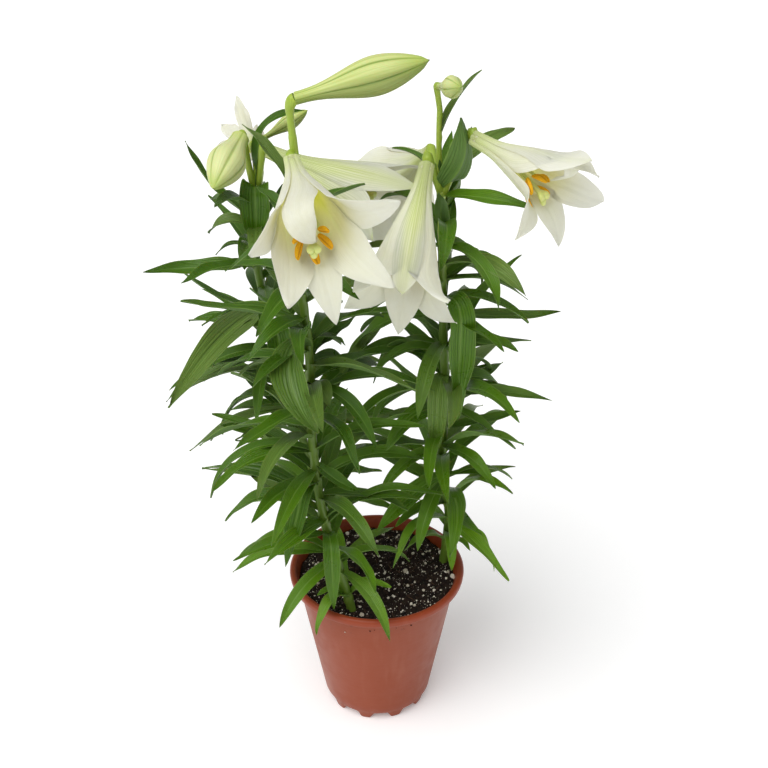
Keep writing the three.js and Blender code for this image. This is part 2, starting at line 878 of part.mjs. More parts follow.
function potBody() {
  const underRim = POT_HEIGHT - RIM_BAND;
  const top = POT_HEIGHT;
  const wallTop = wallRadius(underRim);
  return turned(
    [
      [0, FLOOR_UNDERSIDE],
      [FLOOR_RADIUS, FLOOR_UNDERSIDE],
      [FOOT_INNER_RADIUS, NOTCH_HEIGHT],
      [FOOT_OUTER_RADIUS, NOTCH_HEIGHT],
      [BASE_RADIUS, NOTCH_HEIGHT + 3],
      [wallTop, underRim - 2],
      [RIM_RADIUS - 1.4, underRim + 0.6],
      [RIM_RADIUS, underRim + 3.5],
      [RIM_RADIUS - 1.2, top - 1],
      [RIM_RADIUS - 4, top],
      [wallTop - 0.2, top - 3],
      [wallTop - WALL, underRim - 2],
      [BASE_RADIUS - WALL - 0.4, NOTCH_HEIGHT + 5],
      [FOOT_INNER_RADIUS - 0.5, NOTCH_HEIGHT + FLOOR_THICKNESS],
      [FLOOR_RADIUS - 1, FLOOR_UNDERSIDE + FLOOR_THICKNESS],
      [0, FLOOR_UNDERSIDE + FLOOR_THICKNESS],
    ],
    POT_SIDES,
  );
}

// Lets the foot ring down to the surface at each lug
function addLugs(geometry) {
  const places = geometry.attributes.position;
  for (let i = 0; i < places.count; i += 1) {
    if (Math.abs(places.getZ(i) - NOTCH_HEIGHT) < 0.01) {
      const turn = Math.atan2(places.getX(i), -places.getY(i)) - radians(LUG_TURN);
      const step = Math.round((turn / (Math.PI * 2)) * POT_SIDES - 0.5);
      if (THREE.MathUtils.euclideanModulo(step, SIDES_PER_LUG) >= SIDES_PER_LUG / 2) {
        places.setZ(i, 0);
      }
    }
  }
}

function pot() {
  const shell = potBody();
  addLugs(shell);
  let body = toSolid(shell);
  for (let index = 0; index < DRAIN_HOLES; index += 1) {
    const hole = new THREE.CylinderGeometry(DRAIN_HOLE_RADIUS, DRAIN_HOLE_RADIUS, 20, 8);
    hole.rotateX(Math.PI / 2);
    const turn = radians((index * 360) / DRAIN_HOLES);
    hole.translate(Math.cos(turn) * DRAIN_RING_RADIUS, Math.sin(turn) * DRAIN_RING_RADIUS, 0);
    body = body.subtract(toSolid(hole));
  }
  return fromSolid(body);
}

// Height of the soil's lumpy top, the same everywhere that a script works it out
function soilHeight(x, y) {
  const lumps =
    Math.sin(x * 0.21 + 1.3) * Math.cos(y * 0.19 - 0.4) + 0.6 * Math.sin(x * 0.43 - y * 0.37);
  return SOIL_TOP + SOIL_LUMP * lumps;
}

function soil() {
  const floorTop = FLOOR_UNDERSIDE + FLOOR_THICKNESS + GAP;
  const shoulder = NOTCH_HEIGHT + FLOOR_THICKNESS + GAP;
  const reach = (height) => (wallRadius(height) - WALL) * Math.cos(Math.PI / POT_SIDES) - GAP;
  const ringOf = (radius, heightAt) => {
    const ring = [];
    for (let k = 0; k < SOIL_SIDES; k += 1) {
      const turn = (k / SOIL_SIDES) * Math.PI * 2;
      const x = Math.cos(turn) * radius;
      const y = Math.sin(turn) * radius;
      ring.push(new THREE.Vector3(x, y, heightAt(x, y)));
    }
    return ring;
  };
  const edge = reach(SOIL_TOP - 4);
  const rings = [
    ringOf(FLOOR_RADIUS - 2, () => floorTop),
    ringOf(FOOT_INNER_RADIUS - 0.9, () => shoulder),
    ringOf(FOOT_OUTER_RADIUS + 0.1, () => NOTCH_HEIGHT + 5.8),
    ringOf(edge, () => SOIL_TOP - 4),
  ];
  for (const share of [0.99, 0.78, 0.52, 0.26]) {
    rings.push(ringOf(edge * share, soilHeight));
  }
  const body = loft(rings, new THREE.Vector3(0, 0, soilHeight(0, 0)));
  let solid = toSolid(body);
  for (const name of Object.keys(STEMS)) {
    solid = solid.subtract(toSolid(stemTube(name, GAP)));
  }
  return fromSolid(solid);
}

// Colours and the finished group

const COLOURS = {
  pot: { color: 0xa35a3f, roughness: 0.5, metalness: 0 },
  soil: { color: 0x2a1f19, roughness: 0.95, metalness: 0 },
  leaves: { color: 0x3c7028, roughness: 0.4, metalness: 0 },
  petals: { color: 0xf3f2e6, roughness: 0.5, metalness: 0 },
  stamens: { color: 0xe0a020, roughness: 0.8, metalness: 0 },
  buds: { color: 0xc3cf72, roughness: 0.45, metalness: 0 },
};

const group = new THREE.Group();

function addPiece(name, geometry, look) {
  const mesh = new THREE.Mesh(geometry, new THREE.MeshStandardMaterial(COLOURS[look]));
  mesh.name = name;
  group.add(mesh);
}

addPiece('pot', pot(), 'pot');
addPiece('soil', soil(), 'soil');

for (const [name, flower] of Object.entries(FLOWERS)) {
  take(`flower_${name}`, flowerSamples(flower));
  addPiece(`flower_${name}`, perianth(flower), 'petals');
  addPiece(`stamens_and_pistil_${name}`, stamensAndPistil(flower), 'stamens');
}

for (const [name, bud] of Object.entries(BUDS)) {
  take(`bud_${name}`, budSamples(bud));
  addPiece(`bud_${name}`, budBody(bud), 'buds');
}

for (const name of Object.keys(STEMS)) {
  for (let height = SOIL_TOP; height < STEMS[name].at(-1)[2]; height += 8) {
    take(name, [stemPoint(name, height)]);
  }
  LEAVES[name].forEach((row) => take(name, leafSamples(stemPoint(name, row[0]), row)));
}

for (const name of Object.keys(STEMS)) {
  addPiece(`leafy_stem_${name}`, leafyStem(name), 'leaves');
}

export default group;
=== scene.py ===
"""A potted easter lily: three leafy stems with six white trumpets and four buds, in a
terracotta-coloured nursery pot full of peat with white perlite grains.

Every shape is worked out in millimetres with +Z up, as in the CAD model, and is put
into its mesh in metres. The camera looks along +Y, a little down."""

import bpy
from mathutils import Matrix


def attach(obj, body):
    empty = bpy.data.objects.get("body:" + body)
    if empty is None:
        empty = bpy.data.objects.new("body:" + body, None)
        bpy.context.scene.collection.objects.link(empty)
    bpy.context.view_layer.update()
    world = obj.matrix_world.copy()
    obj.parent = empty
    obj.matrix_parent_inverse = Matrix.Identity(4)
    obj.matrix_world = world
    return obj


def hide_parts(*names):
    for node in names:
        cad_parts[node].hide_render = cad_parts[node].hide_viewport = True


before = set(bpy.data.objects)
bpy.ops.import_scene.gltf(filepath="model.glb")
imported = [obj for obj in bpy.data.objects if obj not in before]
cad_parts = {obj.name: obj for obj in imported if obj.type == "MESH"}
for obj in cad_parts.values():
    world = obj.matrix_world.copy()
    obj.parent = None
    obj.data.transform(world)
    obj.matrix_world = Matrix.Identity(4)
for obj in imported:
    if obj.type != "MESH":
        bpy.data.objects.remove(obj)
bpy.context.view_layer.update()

import math

import bpy
import numpy as np
from bpy.props import FloatProperty, FloatVectorProperty, IntProperty, PointerProperty
from mathutils import Vector

bl_info = {
    "name": "Potted Easter Lily",
    "version": (1, 0, 0),
    "blender": (4, 5, 0),
    "location": "3D View > Sidebar > Lily",
    "description": "Makes a potted easter lily with its soil, leaves, flowers and buds",
    "category": "Add Mesh",
}

MM = 0.001

# Pot and soil, in millimetres. The wall's foot is a little slimmer than the solid's

POT_HEIGHT = 156.0
RIM_RADIUS = 85.0
RIM_BAND = 9.0
RIM_ROLL = 7.5
BEAD_RADIUS = 3.3
BASE_RADIUS = 51.8
FLOOR_UNDERSIDE = 2.5
FLOOR_TOP = 4.5
FLOOR_RADIUS = 42.0
NOTCH_HEIGHT = 6.5
LUGS = 10
LUG_AZIMUTH = -103.5
LUG_HALF = 4.2
LUG_FLANK = 6.6
DRAIN_HOLES = 5
DRAIN_HOLE_RADIUS = 4.0
DRAIN_RING_RADIUS = 30.0
POT_CREASE = 40
SOIL_TOP = 145.0
SOIL_EDGE = 75.3
SOIL_LUMP = 1.04
WALL_AND_GAP = 1.9

# Plants, in millimetres and degrees

STEM_RADIUS_LOW = 4.5
STEM_RADIUS_TOP = 3.4
STALK_RADIUS = 3.1
STALK_SWELL = 1.1
STALK_STEPS = 48
SCAR_HEIGHTS = (456, 468)
GAP = 0.3

LEAF_STEPS = 24
LEAF_WIDEST = 0.42
BROAD_LEAF = 20

TUBE_RADIUS = 4.6
WHORL_STEP = 1.3
TUBE_ANGLE = 3.0
INNER_HALF_WIDTH = 22.0
OUTER_HALF_WIDTH = 16.0
RECEPTACLE = 7.0

STAMENS = 6
STAMEN_REACH = 0.6
ANTHER_LEAN = 13.5
ANTHER_LENGTH = 14.5
STYLE_PAST_ANTHERS = 15

STEMS = {
    "front_left": [
        (-18, -54, 112), (-24, -53, 145), (-30, -51, 172), (-40, -48, 210), (-48, -46, 245),
        (-54, -45, 290), (-57, -45, 340), (-57, -45, 390), (-58, -45, 434), (-62, -45, 480),
        (-64, -46, 530), (-63, -47, 585), (-66, -47, 630),
    ],
    "right": [
        (60, 20, 112), (66, 21, 145), (70, 18, 205), (65, 12, 240), (61, 6, 280), (62, 1, 320),
        (62, -3, 370), (59, -7, 430), (57, -10, 490), (55, -12, 550), (52, -13, 600),
        (52, -14, 640),
    ],
    "back_left": [
        (-38, 50, 112), (-45, 54, 145), (-64, 59, 230), (-80, 60, 300), (-91, 60, 350),
        (-100, 60, 400), (-108, 60, 450), (-109, 61, 490), (-104, 63, 530), (-101, 64, 550),
    ],
}

# The leaves of each stem: height of the root, azimuth, slope at the root and at the tip,
# length, width, turn of the azimuth by the tip, roll about the midrib, twist by the tip
# and, for some, the share of the length where the slope starts and ends its change
LEAVES = {
    "front_left": [
        (448, -167, 39, 11, 111, 21, -13, -5, 19, (0, 0.4)),
        (429, -135, 38, -42, 109, 33, 110, 38, -33, (0.05, 0.4)),
        (436, 36, -2, -50, 46, 11, 2, 10, -20),
        (422, 54, 7, 8, 65, 14, -3, -5, 15), (413, 48, -4, -42, 54, 15, 0, 6, 22),
        (394, -31, -3, -61, 88, 16, -8, 0, 33), (385, -59, 60, -60, 45, 18, 0, 0, 2),
        (322, -174, 20, -72, 123, 17, 1, -4, 10), (309, -31, -31, 1, 52, 14, -3, 3, 33),
        (273, 5, 4, -32, 87, 15, -5, 1, 6), (287, -119, 32, -67, 96, 22, -10, -11, 0, (0, 0.4)),
        (254, 174, 31, -56, 109, 16, -4, -13, -10), (247, -4, 43, -17, 98, 15, 7, -9, 22),
        (230, -82, 40, -80, 92, 17, 0, 0, 8, (0, 0.5)), (200, -134, 1, -53, 87, 16, 0, -35, 20),
        (208, 176, 10, -41, 106, 15, 1, -35, 26), (195, 44, 20, -10, 75, 13, 0, 0, -2),
        (189, -50, 10, -65, 92, 15, 0, 0, 20), (160, -8, 60, -20, 50, 13, 0, 0, 18),
        (157, -125, 55, -75, 72, 13, 0, 0, 5), (158, -165, 65, -30, 38, 10, 0, 0, -21),
        (537, 135, 42, 11, 59, 15, -3, -2, 9), (528, 46, 60, 5, 48, 14, 0, 0, -34),
        (557, -40, 34, 29, 79, 15, 12, 18, -31), (200, 6, 23, -50, 83, 14, 24, 0, -19),
        (206, 162, 34, -43, 102, 16, 26, -6, 31), (214, -51, 26, -13, 94, 15, -23, 0, -20),
        (221, 79, 29, -24, 87, 18, -21, -1, 5), (230, -154, 14, -15, 95, 15, -2, -8, -14),
        (240, 6, 47, -12, 126, 14, -16, -5, 10), (237, 142, 16, -13, 115, 19, -17, -7, -2),
        (246, -111, 22, -21, 89, 20, -31, -23, 26), (256, 58, 34, -13, 98, 18, 13, 1, 32),
        (264, 153, 22, -14, 122, 22, 10, -12, 15), (269, -57, 25, -32, 103, 18, 3, 0, 14),
        (274, 75, 21, 8, 112, 17, 5, 1, -17), (283, -127, 34, -10, 107, 18, 10, -14, -5),
        (290, -2, 40, -32, 116, 16, 23, 6, 26), (299, 151, 34, -1, 114, 16, 7, -6, 2),
        (300, -107, 19, -28, 111, 17, -3, -9, -14), (305, 80, 25, 3, 103, 17, -13, 1, -1),
        (320, -167, 15, -22, 105, 18, 37, -24, 31), (322, -14, 42, -1, 111, 15, 6, 4, 27),
        (332, 126, 29, -2, 113, 21, 21, 0, 32), (336, -117, 32, -27, 120, 19, 10, -1, 21),
        (343, 48, 50, 9, 130, 17, 10, -17, 19), (347, 176, 8, -35, 109, 18, 0, 5, 29),
        (356, -54, 31, -41, 97, 17, -13, -3, -18), (363, 57, 36, -37, 110, 19, -18, 13, 19),
        (370, -127, 7, -14, 91, 18, -16, 12, -25), (381, -2, 31, -26, 116, 17, 1, -9, 18),
        (384, 132, 23, -46, 100, 15, 16, 1, -15), (390, -90, 37, -24, 101, 19, 17, 1, 2),
        (395, 39, 11, -9, 104, 19, -22, 1, -16), (404, 178, 31, -45, 93, 17, -9, 0, 17),
        (411, -31, 18, -18, 104, 19, 10, 0, -33), (416, 68, 34, -41, 99, 18, 24, 1, -25),
        (424, -124, 26, -27, 78, 17, -6, 1, 1), (432, 39, 27, -23, 82, 18, -11, 1, -25),
        (438, 141, 21, -1, 85, 15, -20, 0, 32), (445, -99, 37, -16, 89, 19, 18, 2, 28),
        (451, 110, 30, 5, 78, 18, 25, -1, 5), (458, -115, 19, -34, 78, 19, -29, -13, 17),
        (471, 8, 30, -22, 79, 15, 21, 0, 33), (472, 116, 34, -27, 85, 14, -11, 0, 12),
        (478, -105, 36, -31, 90, 19, -18, -1, -20), (486, 49, 29, -31, 81, 16, 14, 0, -25),
        (492, 167, 28, -31, 75, 14, -13, -1, -3), (499, -54, 28, -27, 73, 15, 23, 0, 28),
        (506, 88, 37, -13, 86, 18, 16, 0, -34), (514, -139, 48, -40, 73, 17, -26, -1, 16),
        (570, 150, 58, 34, 74, 15, 0, 0, 0),
    ],
    "right": [
        (609, 7, 70, 50, 66, 10, -15, 25, -24), (570, 32, 35, 4, 83, 20, 4, 3, 30),
        (566, 137, 48, -8, 58, 13, 9, 1, 22), (563, -64, 38, 108, 79, 30, 79, -37, -8),
        (535, 83, 58, 28, 82, 14, -4, -24, 18), (546, -120, 85, 80, 44, 10, 0, 0, -1),
        (547, 46, 59, 55, 70, 16, 5, 12, 32), (523, 141, 51, -32, 76, 15, 7, -16, 32),
        (556, -50, 18, -7, 97, 15, 36, 22, 13), (512, -105, 80, 68, 55, 15, 0, 0, 1),
        (505, 60, 67, 64, 45, 16, -1, 11, 25), (508, -40, 11, -61, 87, 19, -21, 4, -14),
        (475, -11, 15, -40, 81, 12, 14, -6, -1), (466, 32, 57, -76, 62, 15, 3, -4, 13),
        (455, -62, 45, -92, 146, 28, -1, 20, -30, (0, 0.35)),
        (443, 14, -15, 0, 111, 14, -1, 8, 28),
        (440, 164, -7, -58, 109, 18, 1, -30, 16), (407, 161, 9, -69, 83, 13, 1, 2, 28),
        (400, 10, 12, -12, 83, 12, 9, 28, -24), (397, -173, 30, -65, 82, 14, 13, -14, 11),
        (379, 40, 11, -59, 78, 13, 12, -10, 6), (374, -106, 35, -85, 94, 20, 0, 0, -23, (0, 0.4)),
        (372, 141, 31, -10, 56, 13, -1, 0, 0), (364, 171, -2, -76, 95, 15, 3, -23, -12),
        (355, -18, 17, -12, 100, 13, 13, 22, 10), (357, 44, 19, -12, 61, 10, -1, 3, 8),
        (346, -21, -24, -31, 78, 14, 0, 8, -30), (338, -138, 25, -44, 82, 20, 3, -23, 0),
        (336, 55, 3, -40, 84, 11, 2, -1, 16), (315, 18, 1, -2, 81, 12, 9, 14, 14),
        (293, -42, 15, -48, 72, 15, 2, 6, 29), (290, -150, 10, -52, 85, 13, 13, -32, 11),
        (256, 4, 11, -44, 74, 10, -12, -12, 11), (252, 6, 25, -48, 80, 10, 22, -12, 11),
        (253, -112, -6, -67, 81, 17, -6, 9, -29), (237, -80, 43, -85, 72, 13, 0, -1, -34),
        (243, 49, 61, 32, 62, 10, 3, -21, 2), (219, -150, 21, -31, 63, 14, 2, -3, -18),
        (200, -53, -7, -27, 90, 16, 7, 13, -22), (195, -32, 5, -78, 75, 15, -1, -6, -32),
        (182, -87, 38, -61, 60, 14, 0, 0, -16), (171, -139, 50, -20, 64, 13, 0, 0, 24),
        (164, -30, 66, -45, 36, 10, -2, -20, 31), (187, 112, 12, -56, 80, 13, 27, -1, 18),
        (198, -137, 38, -48, 100, 15, 16, 3, 21), (203, -17, 84, -8, 105, 15, -30, -21, 29),
        (212, 130, 29, -25, 86, 18, -27, 0, 9), (220, -80, 17, 15, 96, 14, 15, 4, 13),
        (218, 44, 34, -12, 84, 11, -25, 8, 15), (234, 152, 23, -10, 111, 17, -16, 5, -24),
        (239, -68, 23, -32, 105, 20, -43, 8, 11), (249, 100, 30, -9, 99, 18, 13, -1, -28),
        (259, -138, -4, -27, 90, 21, 3, -10, -30), (266, 41, 28, -24, 124, 17, 25, -2, 28),
        (268, 152, 21, 2, 115, 16, 8, -15, 31), (279, -97, 43, -23, 107, 18, 16, 4, 9),
        (281, 59, 29, -30, 107, 18, 10, 6, -22), (294, -152, 23, -2, 106, 14, -4, -4, 5),
        (294, -43, 44, 3, 102, 19, 7, -6, -12), (309, 117, 31, 8, 118, 15, 16, 8, 14),
        (316, -107, 19, -13, 111, 16, 17, 1, 18), (326, 29, 43, -9, 92, 16, 32, -14, 9),
        (330, -155, 22, -11, 119, 18, 30, 5, 25), (338, -49, 59, -19, 121, 18, -7, 6, 15),
        (344, 62, 26, -8, 104, 16, -10, 9, 32), (356, -149, 29, -45, 113, 19, -7, -2, 22),
        (360, 35, 16, -66, 82, 17, -24, 9, 4), (368, 132, 50, -20, 112, 18, 3, -8, 17),
        (374, -79, 14, 0, 108, 18, -22, -1, -27), (381, 37, 70, 11, 135, 13, 10, -1, 3),
        (390, 158, 24, -39, 96, 14, 16, -21, -26), (401, -41, 48, -12, 84, 19, 14, 10, 11),
        (404, 123, 19, -16, 101, 19, -18, 7, 24), (410, -106, 17, -61, 96, 18, -4, 10, -8),
        (420, 55, 26, -9, 78, 18, 35, 2, 27), (421, 158, 26, -50, 92, 17, -3, 41, -14),
        (435, -51, 17, -14, 79, 16, 2, -14, 18), (445, 88, 43, -26, 98, 13, -10, -11, -8),
        (448, -156, 8, 0, 92, 15, -11, -4, 9), (455, -28, 25, -43, 85, 18, 25, -8, 12),
        (464, 122, 35, 5, 76, 18, 24, 0, -21), (472, -131, 27, -31, 84, 19, -24, 0, -10),
        (476, 21, 33, -31, 68, 14, 19, 4, 32), (486, 163, 32, -29, 86, 14, -9, 0, -14),
        (490, -29, 25, -28, 91, 21, -18, 3, 15), (501, 90, 29, -31, 81, 16, 14, 0, 11),
        (508, -146, 21, -32, 76, 14, -13, 0, -25), (510, -1, 4, -47, 37, 15, 23, 13, -31),
        (529, -78, 32, -44, 82, 17, -30, 0, -13), (534, 74, 13, -4, 76, 15, 1, 2, -33),
        (350, 16, 23, -27, 70, 9, 2, 1, 0),
    ],
    "back_left": [
        (516, -14, 87, 9, 115, 13, 1, 40, 0, (0.35, 1)),
        (520, -92, 70, -85, 78, 30, 0, 0, -2, (0.1, 0.4)),
        (500, 162, 26, 70, 95, 13, 10, 13, -25), (490, -174, 37, -50, 49, 15, -13, -24, 23),
        (488, 10, 50, 65, 52, 13, 0, 0, 23), (476, -103, 47, -83, 49, 19, 1, -1, -20),
        (452, -144, 22, -9, 82, 18, 3, -3, -4), (407, 167, 4, 23, 104, 10, -28, -6, 30),
        (405, -149, 28, -17, 71, 12, 5, 7, 19), (412, -114, 10, -20, 170, 29, -3, -26, 13),
        (390, -71, 30, -100, 98, 28, 0, 0, 12, (0, 0.5)), (368, -160, 7, -43, 120, 15, 5, -22, 2),
        (360, -172, -5, -48, 123, 17, -4, -6, -1), (327, 177, 29, -31, 86, 13, -5, 7, -8),
        (314, 169, 0, -78, 106, 17, -17, 3, -14), (313, 152, -2, -61, 95, 13, 5, -4, 22),
        (301, 176, -14, -43, 121, 16, -1, -12, 7), (300, 163, -11, -52, 109, 15, 0, -1, 10),
        (291, -138, -8, -76, 66, 18, 2, 0, 31), (166, -82, 36, -49, 98, 15, 16, -1, -18),
        (174, 74, 29, -11, 96, 15, -17, -2, 7), (183, -172, 22, -25, 89, 18, -32, -6, 29),
        (193, -36, 27, -10, 99, 16, 18, -2, -13), (197, 138, 25, -26, 100, 15, -6, -6, 16),
        (206, -143, 34, 11, 127, 17, -39, -3, 30), (213, 49, 28, -30, 100, 18, -29, 2, 16),
        (221, 157, 30, 2, 89, 17, 6, -3, 16), (220, -30, 29, 19, 86, 16, -2, -12, 21),
        (236, 75, 19, -35, 109, 18, 12, 0, 27), (245, 170, 33, 15, 93, 20, 23, -17, -22),
        (252, -11, 31, -22, 111, 19, 6, 1, -11), (262, 138, 40, -32, 100, 17, 27, -4, -10),
        (268, -126, 45, 7, 112, 16, 2, 1, 17), (275, 18, 9, -20, 108, 17, 8, 0, 30),
        (281, 146, 28, 19, 109, 17, -16, 4, -25), (290, -4, 7, -11, 110, 16, 22, 1, 17),
        (298, 95, 37, 4, 106, 14, 9, 0, -4), (313, 26, 38, -30, 112, 19, 7, -3, 17),
        (321, 156, 19, -13, 104, 17, 18, -3, -23), (338, 53, 41, -47, 96, 18, -7, 2, -29),
        (348, -160, 24, -34, 115, 18, -7, -4, 31), (360, 126, 30, 3, 113, 14, 22, 5, -33),
        (368, -103, 10, -48, 106, 14, 11, 0, 20), (377, 48, 42, -29, 97, 19, 19, -1, 7),
        (385, -165, 26, -18, 84, 20, -43, -6, 2), (400, 83, 30, -23, 89, 19, 6, 0, 7),
        (402, -121, 25, -38, 98, 20, 2, 7, -1), (415, 1, 25, -25, 75, 18, -1, 1, -30),
        (416, 122, 29, -31, 80, 19, -57, -1, -14), (431, -72, 19, -4, 82, 16, -30, 0, 5),
        (438, 36, 26, -19, 83, 18, 20, -1, 22), (453, 155, -11, 2, 109, 18, 45, -14, -32),
        (454, -42, 26, -34, 76, 18, -18, -1, 14), (460, 112, 16, 15, 99, 13, 20, 17, -21),
        (471, -94, 41, -16, 77, 14, -5, 0, -16), (478, 18, 35, -23, 78, 18, -12, 0, 29),
        (486, 129, 43, -25, 73, 16, 5, 13, 29), (493, -81, 21, -32, 76, 15, -13, -1, 24),
        (501, 81, 29, -25, 74, 16, 28, 0, -3), (510, -128, 40, 7, 74, 18, 21, -17, 10),
        (472, 171, 15, -51, 44, 9, -9, 6, 0), (345, 178, 0, -32, 101, 10, 1, 0, 0),
    ],
}

EVEN = (1,) * 6


def trumpet(**given):
    """A flower: the values given over the usual ones. The values for six tepals have the
    inner ones first.

    base, azimuth, elevation, roll, length: foot and direction of the axis, and its length
    flare: angle from the axis at the end of each tepal
    turns: angle by which each is moved round the axis
    broad, reaches, bands: shares of the usual width, length and green of each
    funnel: where the funnel starts, its angle, and where it has that angle
    folds: for single tepals, where the flare starts and how long it takes
    green: how much green there is at the foot and along the midribs
    bend: how far the ends of the stamens are let down or aside
    splay, gather: how far the anthers lean outwards, and how wide they stand
    depth: share of the usual height of the anthers"""
    usual = dict(
        turns=(0,) * 6, broad=EVEN, reaches=EVEN, bands=EVEN, funnel=(0, 20.0, 0.42), folds={},
        bend=(0, 0, 0), splay=0.5, gather=1, depth=1,
    )
    return {**usual, **given}


FLOWERS = {
    "front": trumpet(
        base=(-66, -58, 607), azimuth=-78, elevation=-11.5, roll=69, length=147, green=0.25,
        flare=(57, -160, 18, 73, 34, 60), turns=(-9, 20, 19, -6, 13, 3),
        broad=(1.02, 0.65, 1.07, 1.35, 1.45, 1.1), reaches=(1.01, 1.05, 0.96, 1, 0.92, 1),
        funnel=(0, 19, 0.3), bend=(0, 0, -12), splay=0.9, gather=0.85,
    ),
    "centre": trumpet(
        base=(42, -28, 591), azimuth=-107, elevation=-46.5, roll=-13, length=144, green=0.6,
        flare=(40, 67, 53, 98, 55, 78), turns=(4, 22, -25, -19, -3, 21),
        broad=(0.9, 1, 1, 1.25, 0.8, 1.4), reaches=(1, 1, 1, 1.05, 1, 1.02),
        bands=(0.6, 0.6, 0.6, 1, 2.2, 1), funnel=(0, 17.3, 0.3),
    ),
    "right": trumpet(
        base=(80, -24, 611.5), azimuth=-47, elevation=-7, roll=-2, length=136, green=0.5,
        flare=(80, -11, -148, 99, 25, 84), turns=(8, 50, -66, 3, 18, 2),
        broad=(0.73, 1, 0.72, 0.95, 1.25, 1.2), reaches=(0.89, 0.94, 1, 0.96, 0.98, 0.91),
        funnel=(0.11, 16.2, 0.3), folds={2: (0.66, 0.24)},
        bend=(-6, 0, -15), splay=0.3, gather=0.75, depth=0.88,
    ),
    "back_right": trumpet(
        base=(46, 29, 577), azimuth=110, elevation=-37, roll=10, length=118, green=0.7,
        flare=(40, 25, 25, 30, 4, 30),
    ),
    "long": trumpet(
        base=(-93, 54, 568), azimuth=-20, elevation=-17, roll=30, length=145, green=1.7,
        flare=(60, 12, 60, 10, 14, 60),
    ),
    "back_left": trumpet(
        base=(-108, 76, 562), azimuth=104, elevation=-12, roll=0, length=92, green=0.3,
        flare=(30, 20, 12, 30, 27, 20), broad=(0.6, 0.42, 0.4, 0.62, 0.42, 0.45),
        reaches=(0.75, 0.66, 0.5, 0.85, 0.95, 0.58), splay=0.1, gather=0.4, depth=0.95,
    ),
}

# Each bud: foot and direction of its axis, its length, its largest radius and where along
# it that is, the share of the radius at its foot, and how pale it is
BUDS = {
    "large": dict(
        base=(-62, -47, 654), azimuth=0, elevation=16.6, length=109,
        radius=15.2, widest=0.6, foot=0.34, pale=0.15,
    ),
    "pale": dict(
        base=(-117, 56, 579), azimuth=-110, elevation=-22, length=63,
        radius=15.8, widest=0.5, foot=0.5, pale=0.8,
    ),
    "small_left": dict(
        base=(-98, 72, 572), azimuth=6, elevation=32, length=46,
        radius=7, widest=0.6, foot=0.34, pale=0.1,
    ),
    "small_right": dict(
        base=(51, -18, 653), azimuth=-50, elevation=14, length=26,
        radius=9, widest=0.6, foot=0.34, pale=0.6,
    ),
}

# Which stem carries each flower and bud, the height where its stalk leaves it, and a
# place that the stalk goes through
STALKS = {
    "front": ("front_left", 540, (-67, -44, 600)),
    "large": ("front_left", 620, None),
    "centre": ("right", 555, None),
    "right": ("right", 552, None),
    "back_right": ("right", 560, None),
    "small_right": ("right", 632, None),
    "long": ("back_left", 520, None),
    "back_left": ("back_left", 528, None),
    "pale": ("back_left", 515, None),
    "small_left": ("back_left", 540, None),
}

# The largest perlite grains that show in the soil: place across and along, and radius
PERLITE_PLACES = [
    (74, -6, 2.6), (70, 3, 2.0), (6, -66, 2.3), (10, -68, 1.8), (26, 17, 1.8), (28, 3, 2.4),
    (30, -1, 1.6), (4, 12, 1.6), (-5, 0, 2.0), (-1, -3, 1.5), (48, 14, 1.6), (30, -20, 1.7),
    (33, -46, 2.0), (36, -49, 1.5), (63, 32, 2.0), (66, 28, 1.5), (41, 51, 1.7), (-6, -42, 1.5),
    (12, -24, 1.4), (45, -32, 1.3), (52, -12, 1.3), (20, 40, 1.3), (-20, 20, 1.6), (-48, -10, 1.5),
    (-60, 12, 1.8), (0, 52, 1.7), (-14, -62, 2.2), (-40, -30, 1.4), (22, 62, 1.6), (-30, 62, 1.8),
]

# Crumbs of soil that cling to the wall under the rim: azimuth, height and radius
WALL_SPECKS = [
    (-94.7, 137.3, 0.75), (-91.5, 138.8, 0.5), (-64.7, 138.8, 0.8), (-76, 139.6, 0.4),
    (-70, 136, 0.35),
]


# Numbers and directions


def vary(index, salt):
    """A repeatable number from 0 to 1: the fraction of a large sine wave."""
    wave = np.sin(index * 12.9898 + salt * 78.233) * 43758.5453
    return wave - np.floor(wave)


def ramp(value):
    """Smooth step: three times the square less twice the cube, held between 0 and 1."""
    held = np.clip(value, 0.0, 1.0)
    return held * held * (3 - 2 * held)


def mix(low, high, share):
    """The value a share of the way from low to high."""
    return low + (high - low) * share


def heading(azimuth, elevation=0.0):
    """Unit vectors from an azimuth (0 to the right, 90 to the back) and an elevation."""
    azimuth, elevation = np.radians(azimuth), np.radians(elevation)
    flat = np.cos(elevation)
    parts = np.broadcast_arrays(flat * np.cos(azimuth), flat * np.sin(azimuth), np.sin(elevation))
    return np.stack(parts, -1)


def unit(vectors):
    """Each vector over its own length."""
    return vectors / np.linalg.norm(vectors, axis=-1, keepdims=True)


def smooth_curve(knots, shares):
    """Uniform Catmull-Rom curve: a cubic between each pair of knots whose slope at a knot
    is half the step from the knot before it to the knot after it."""
    knots = np.asarray(knots, float)
    padded = np.vstack([2 * knots[0] - knots[1], knots, 2 * knots[-1] - knots[-2]])
    place = np.clip(shares, 0, 1) * (len(knots) - 1)
    span = np.minimum(place.astype(int), len(knots) - 2)
    part = (place - span)[:, None]
    before, start, end, after = (padded[span + k] for k in range(4))
    slope_in, slope_out = (end - before) / 2, (after - start) / 2
    square = -3 * start + 3 * end - 2 * slope_in - slope_out
    cube = 2 * start - 2 * end + slope_in + slope_out
    return start + slope_in * part + square * part**2 + cube * part**3


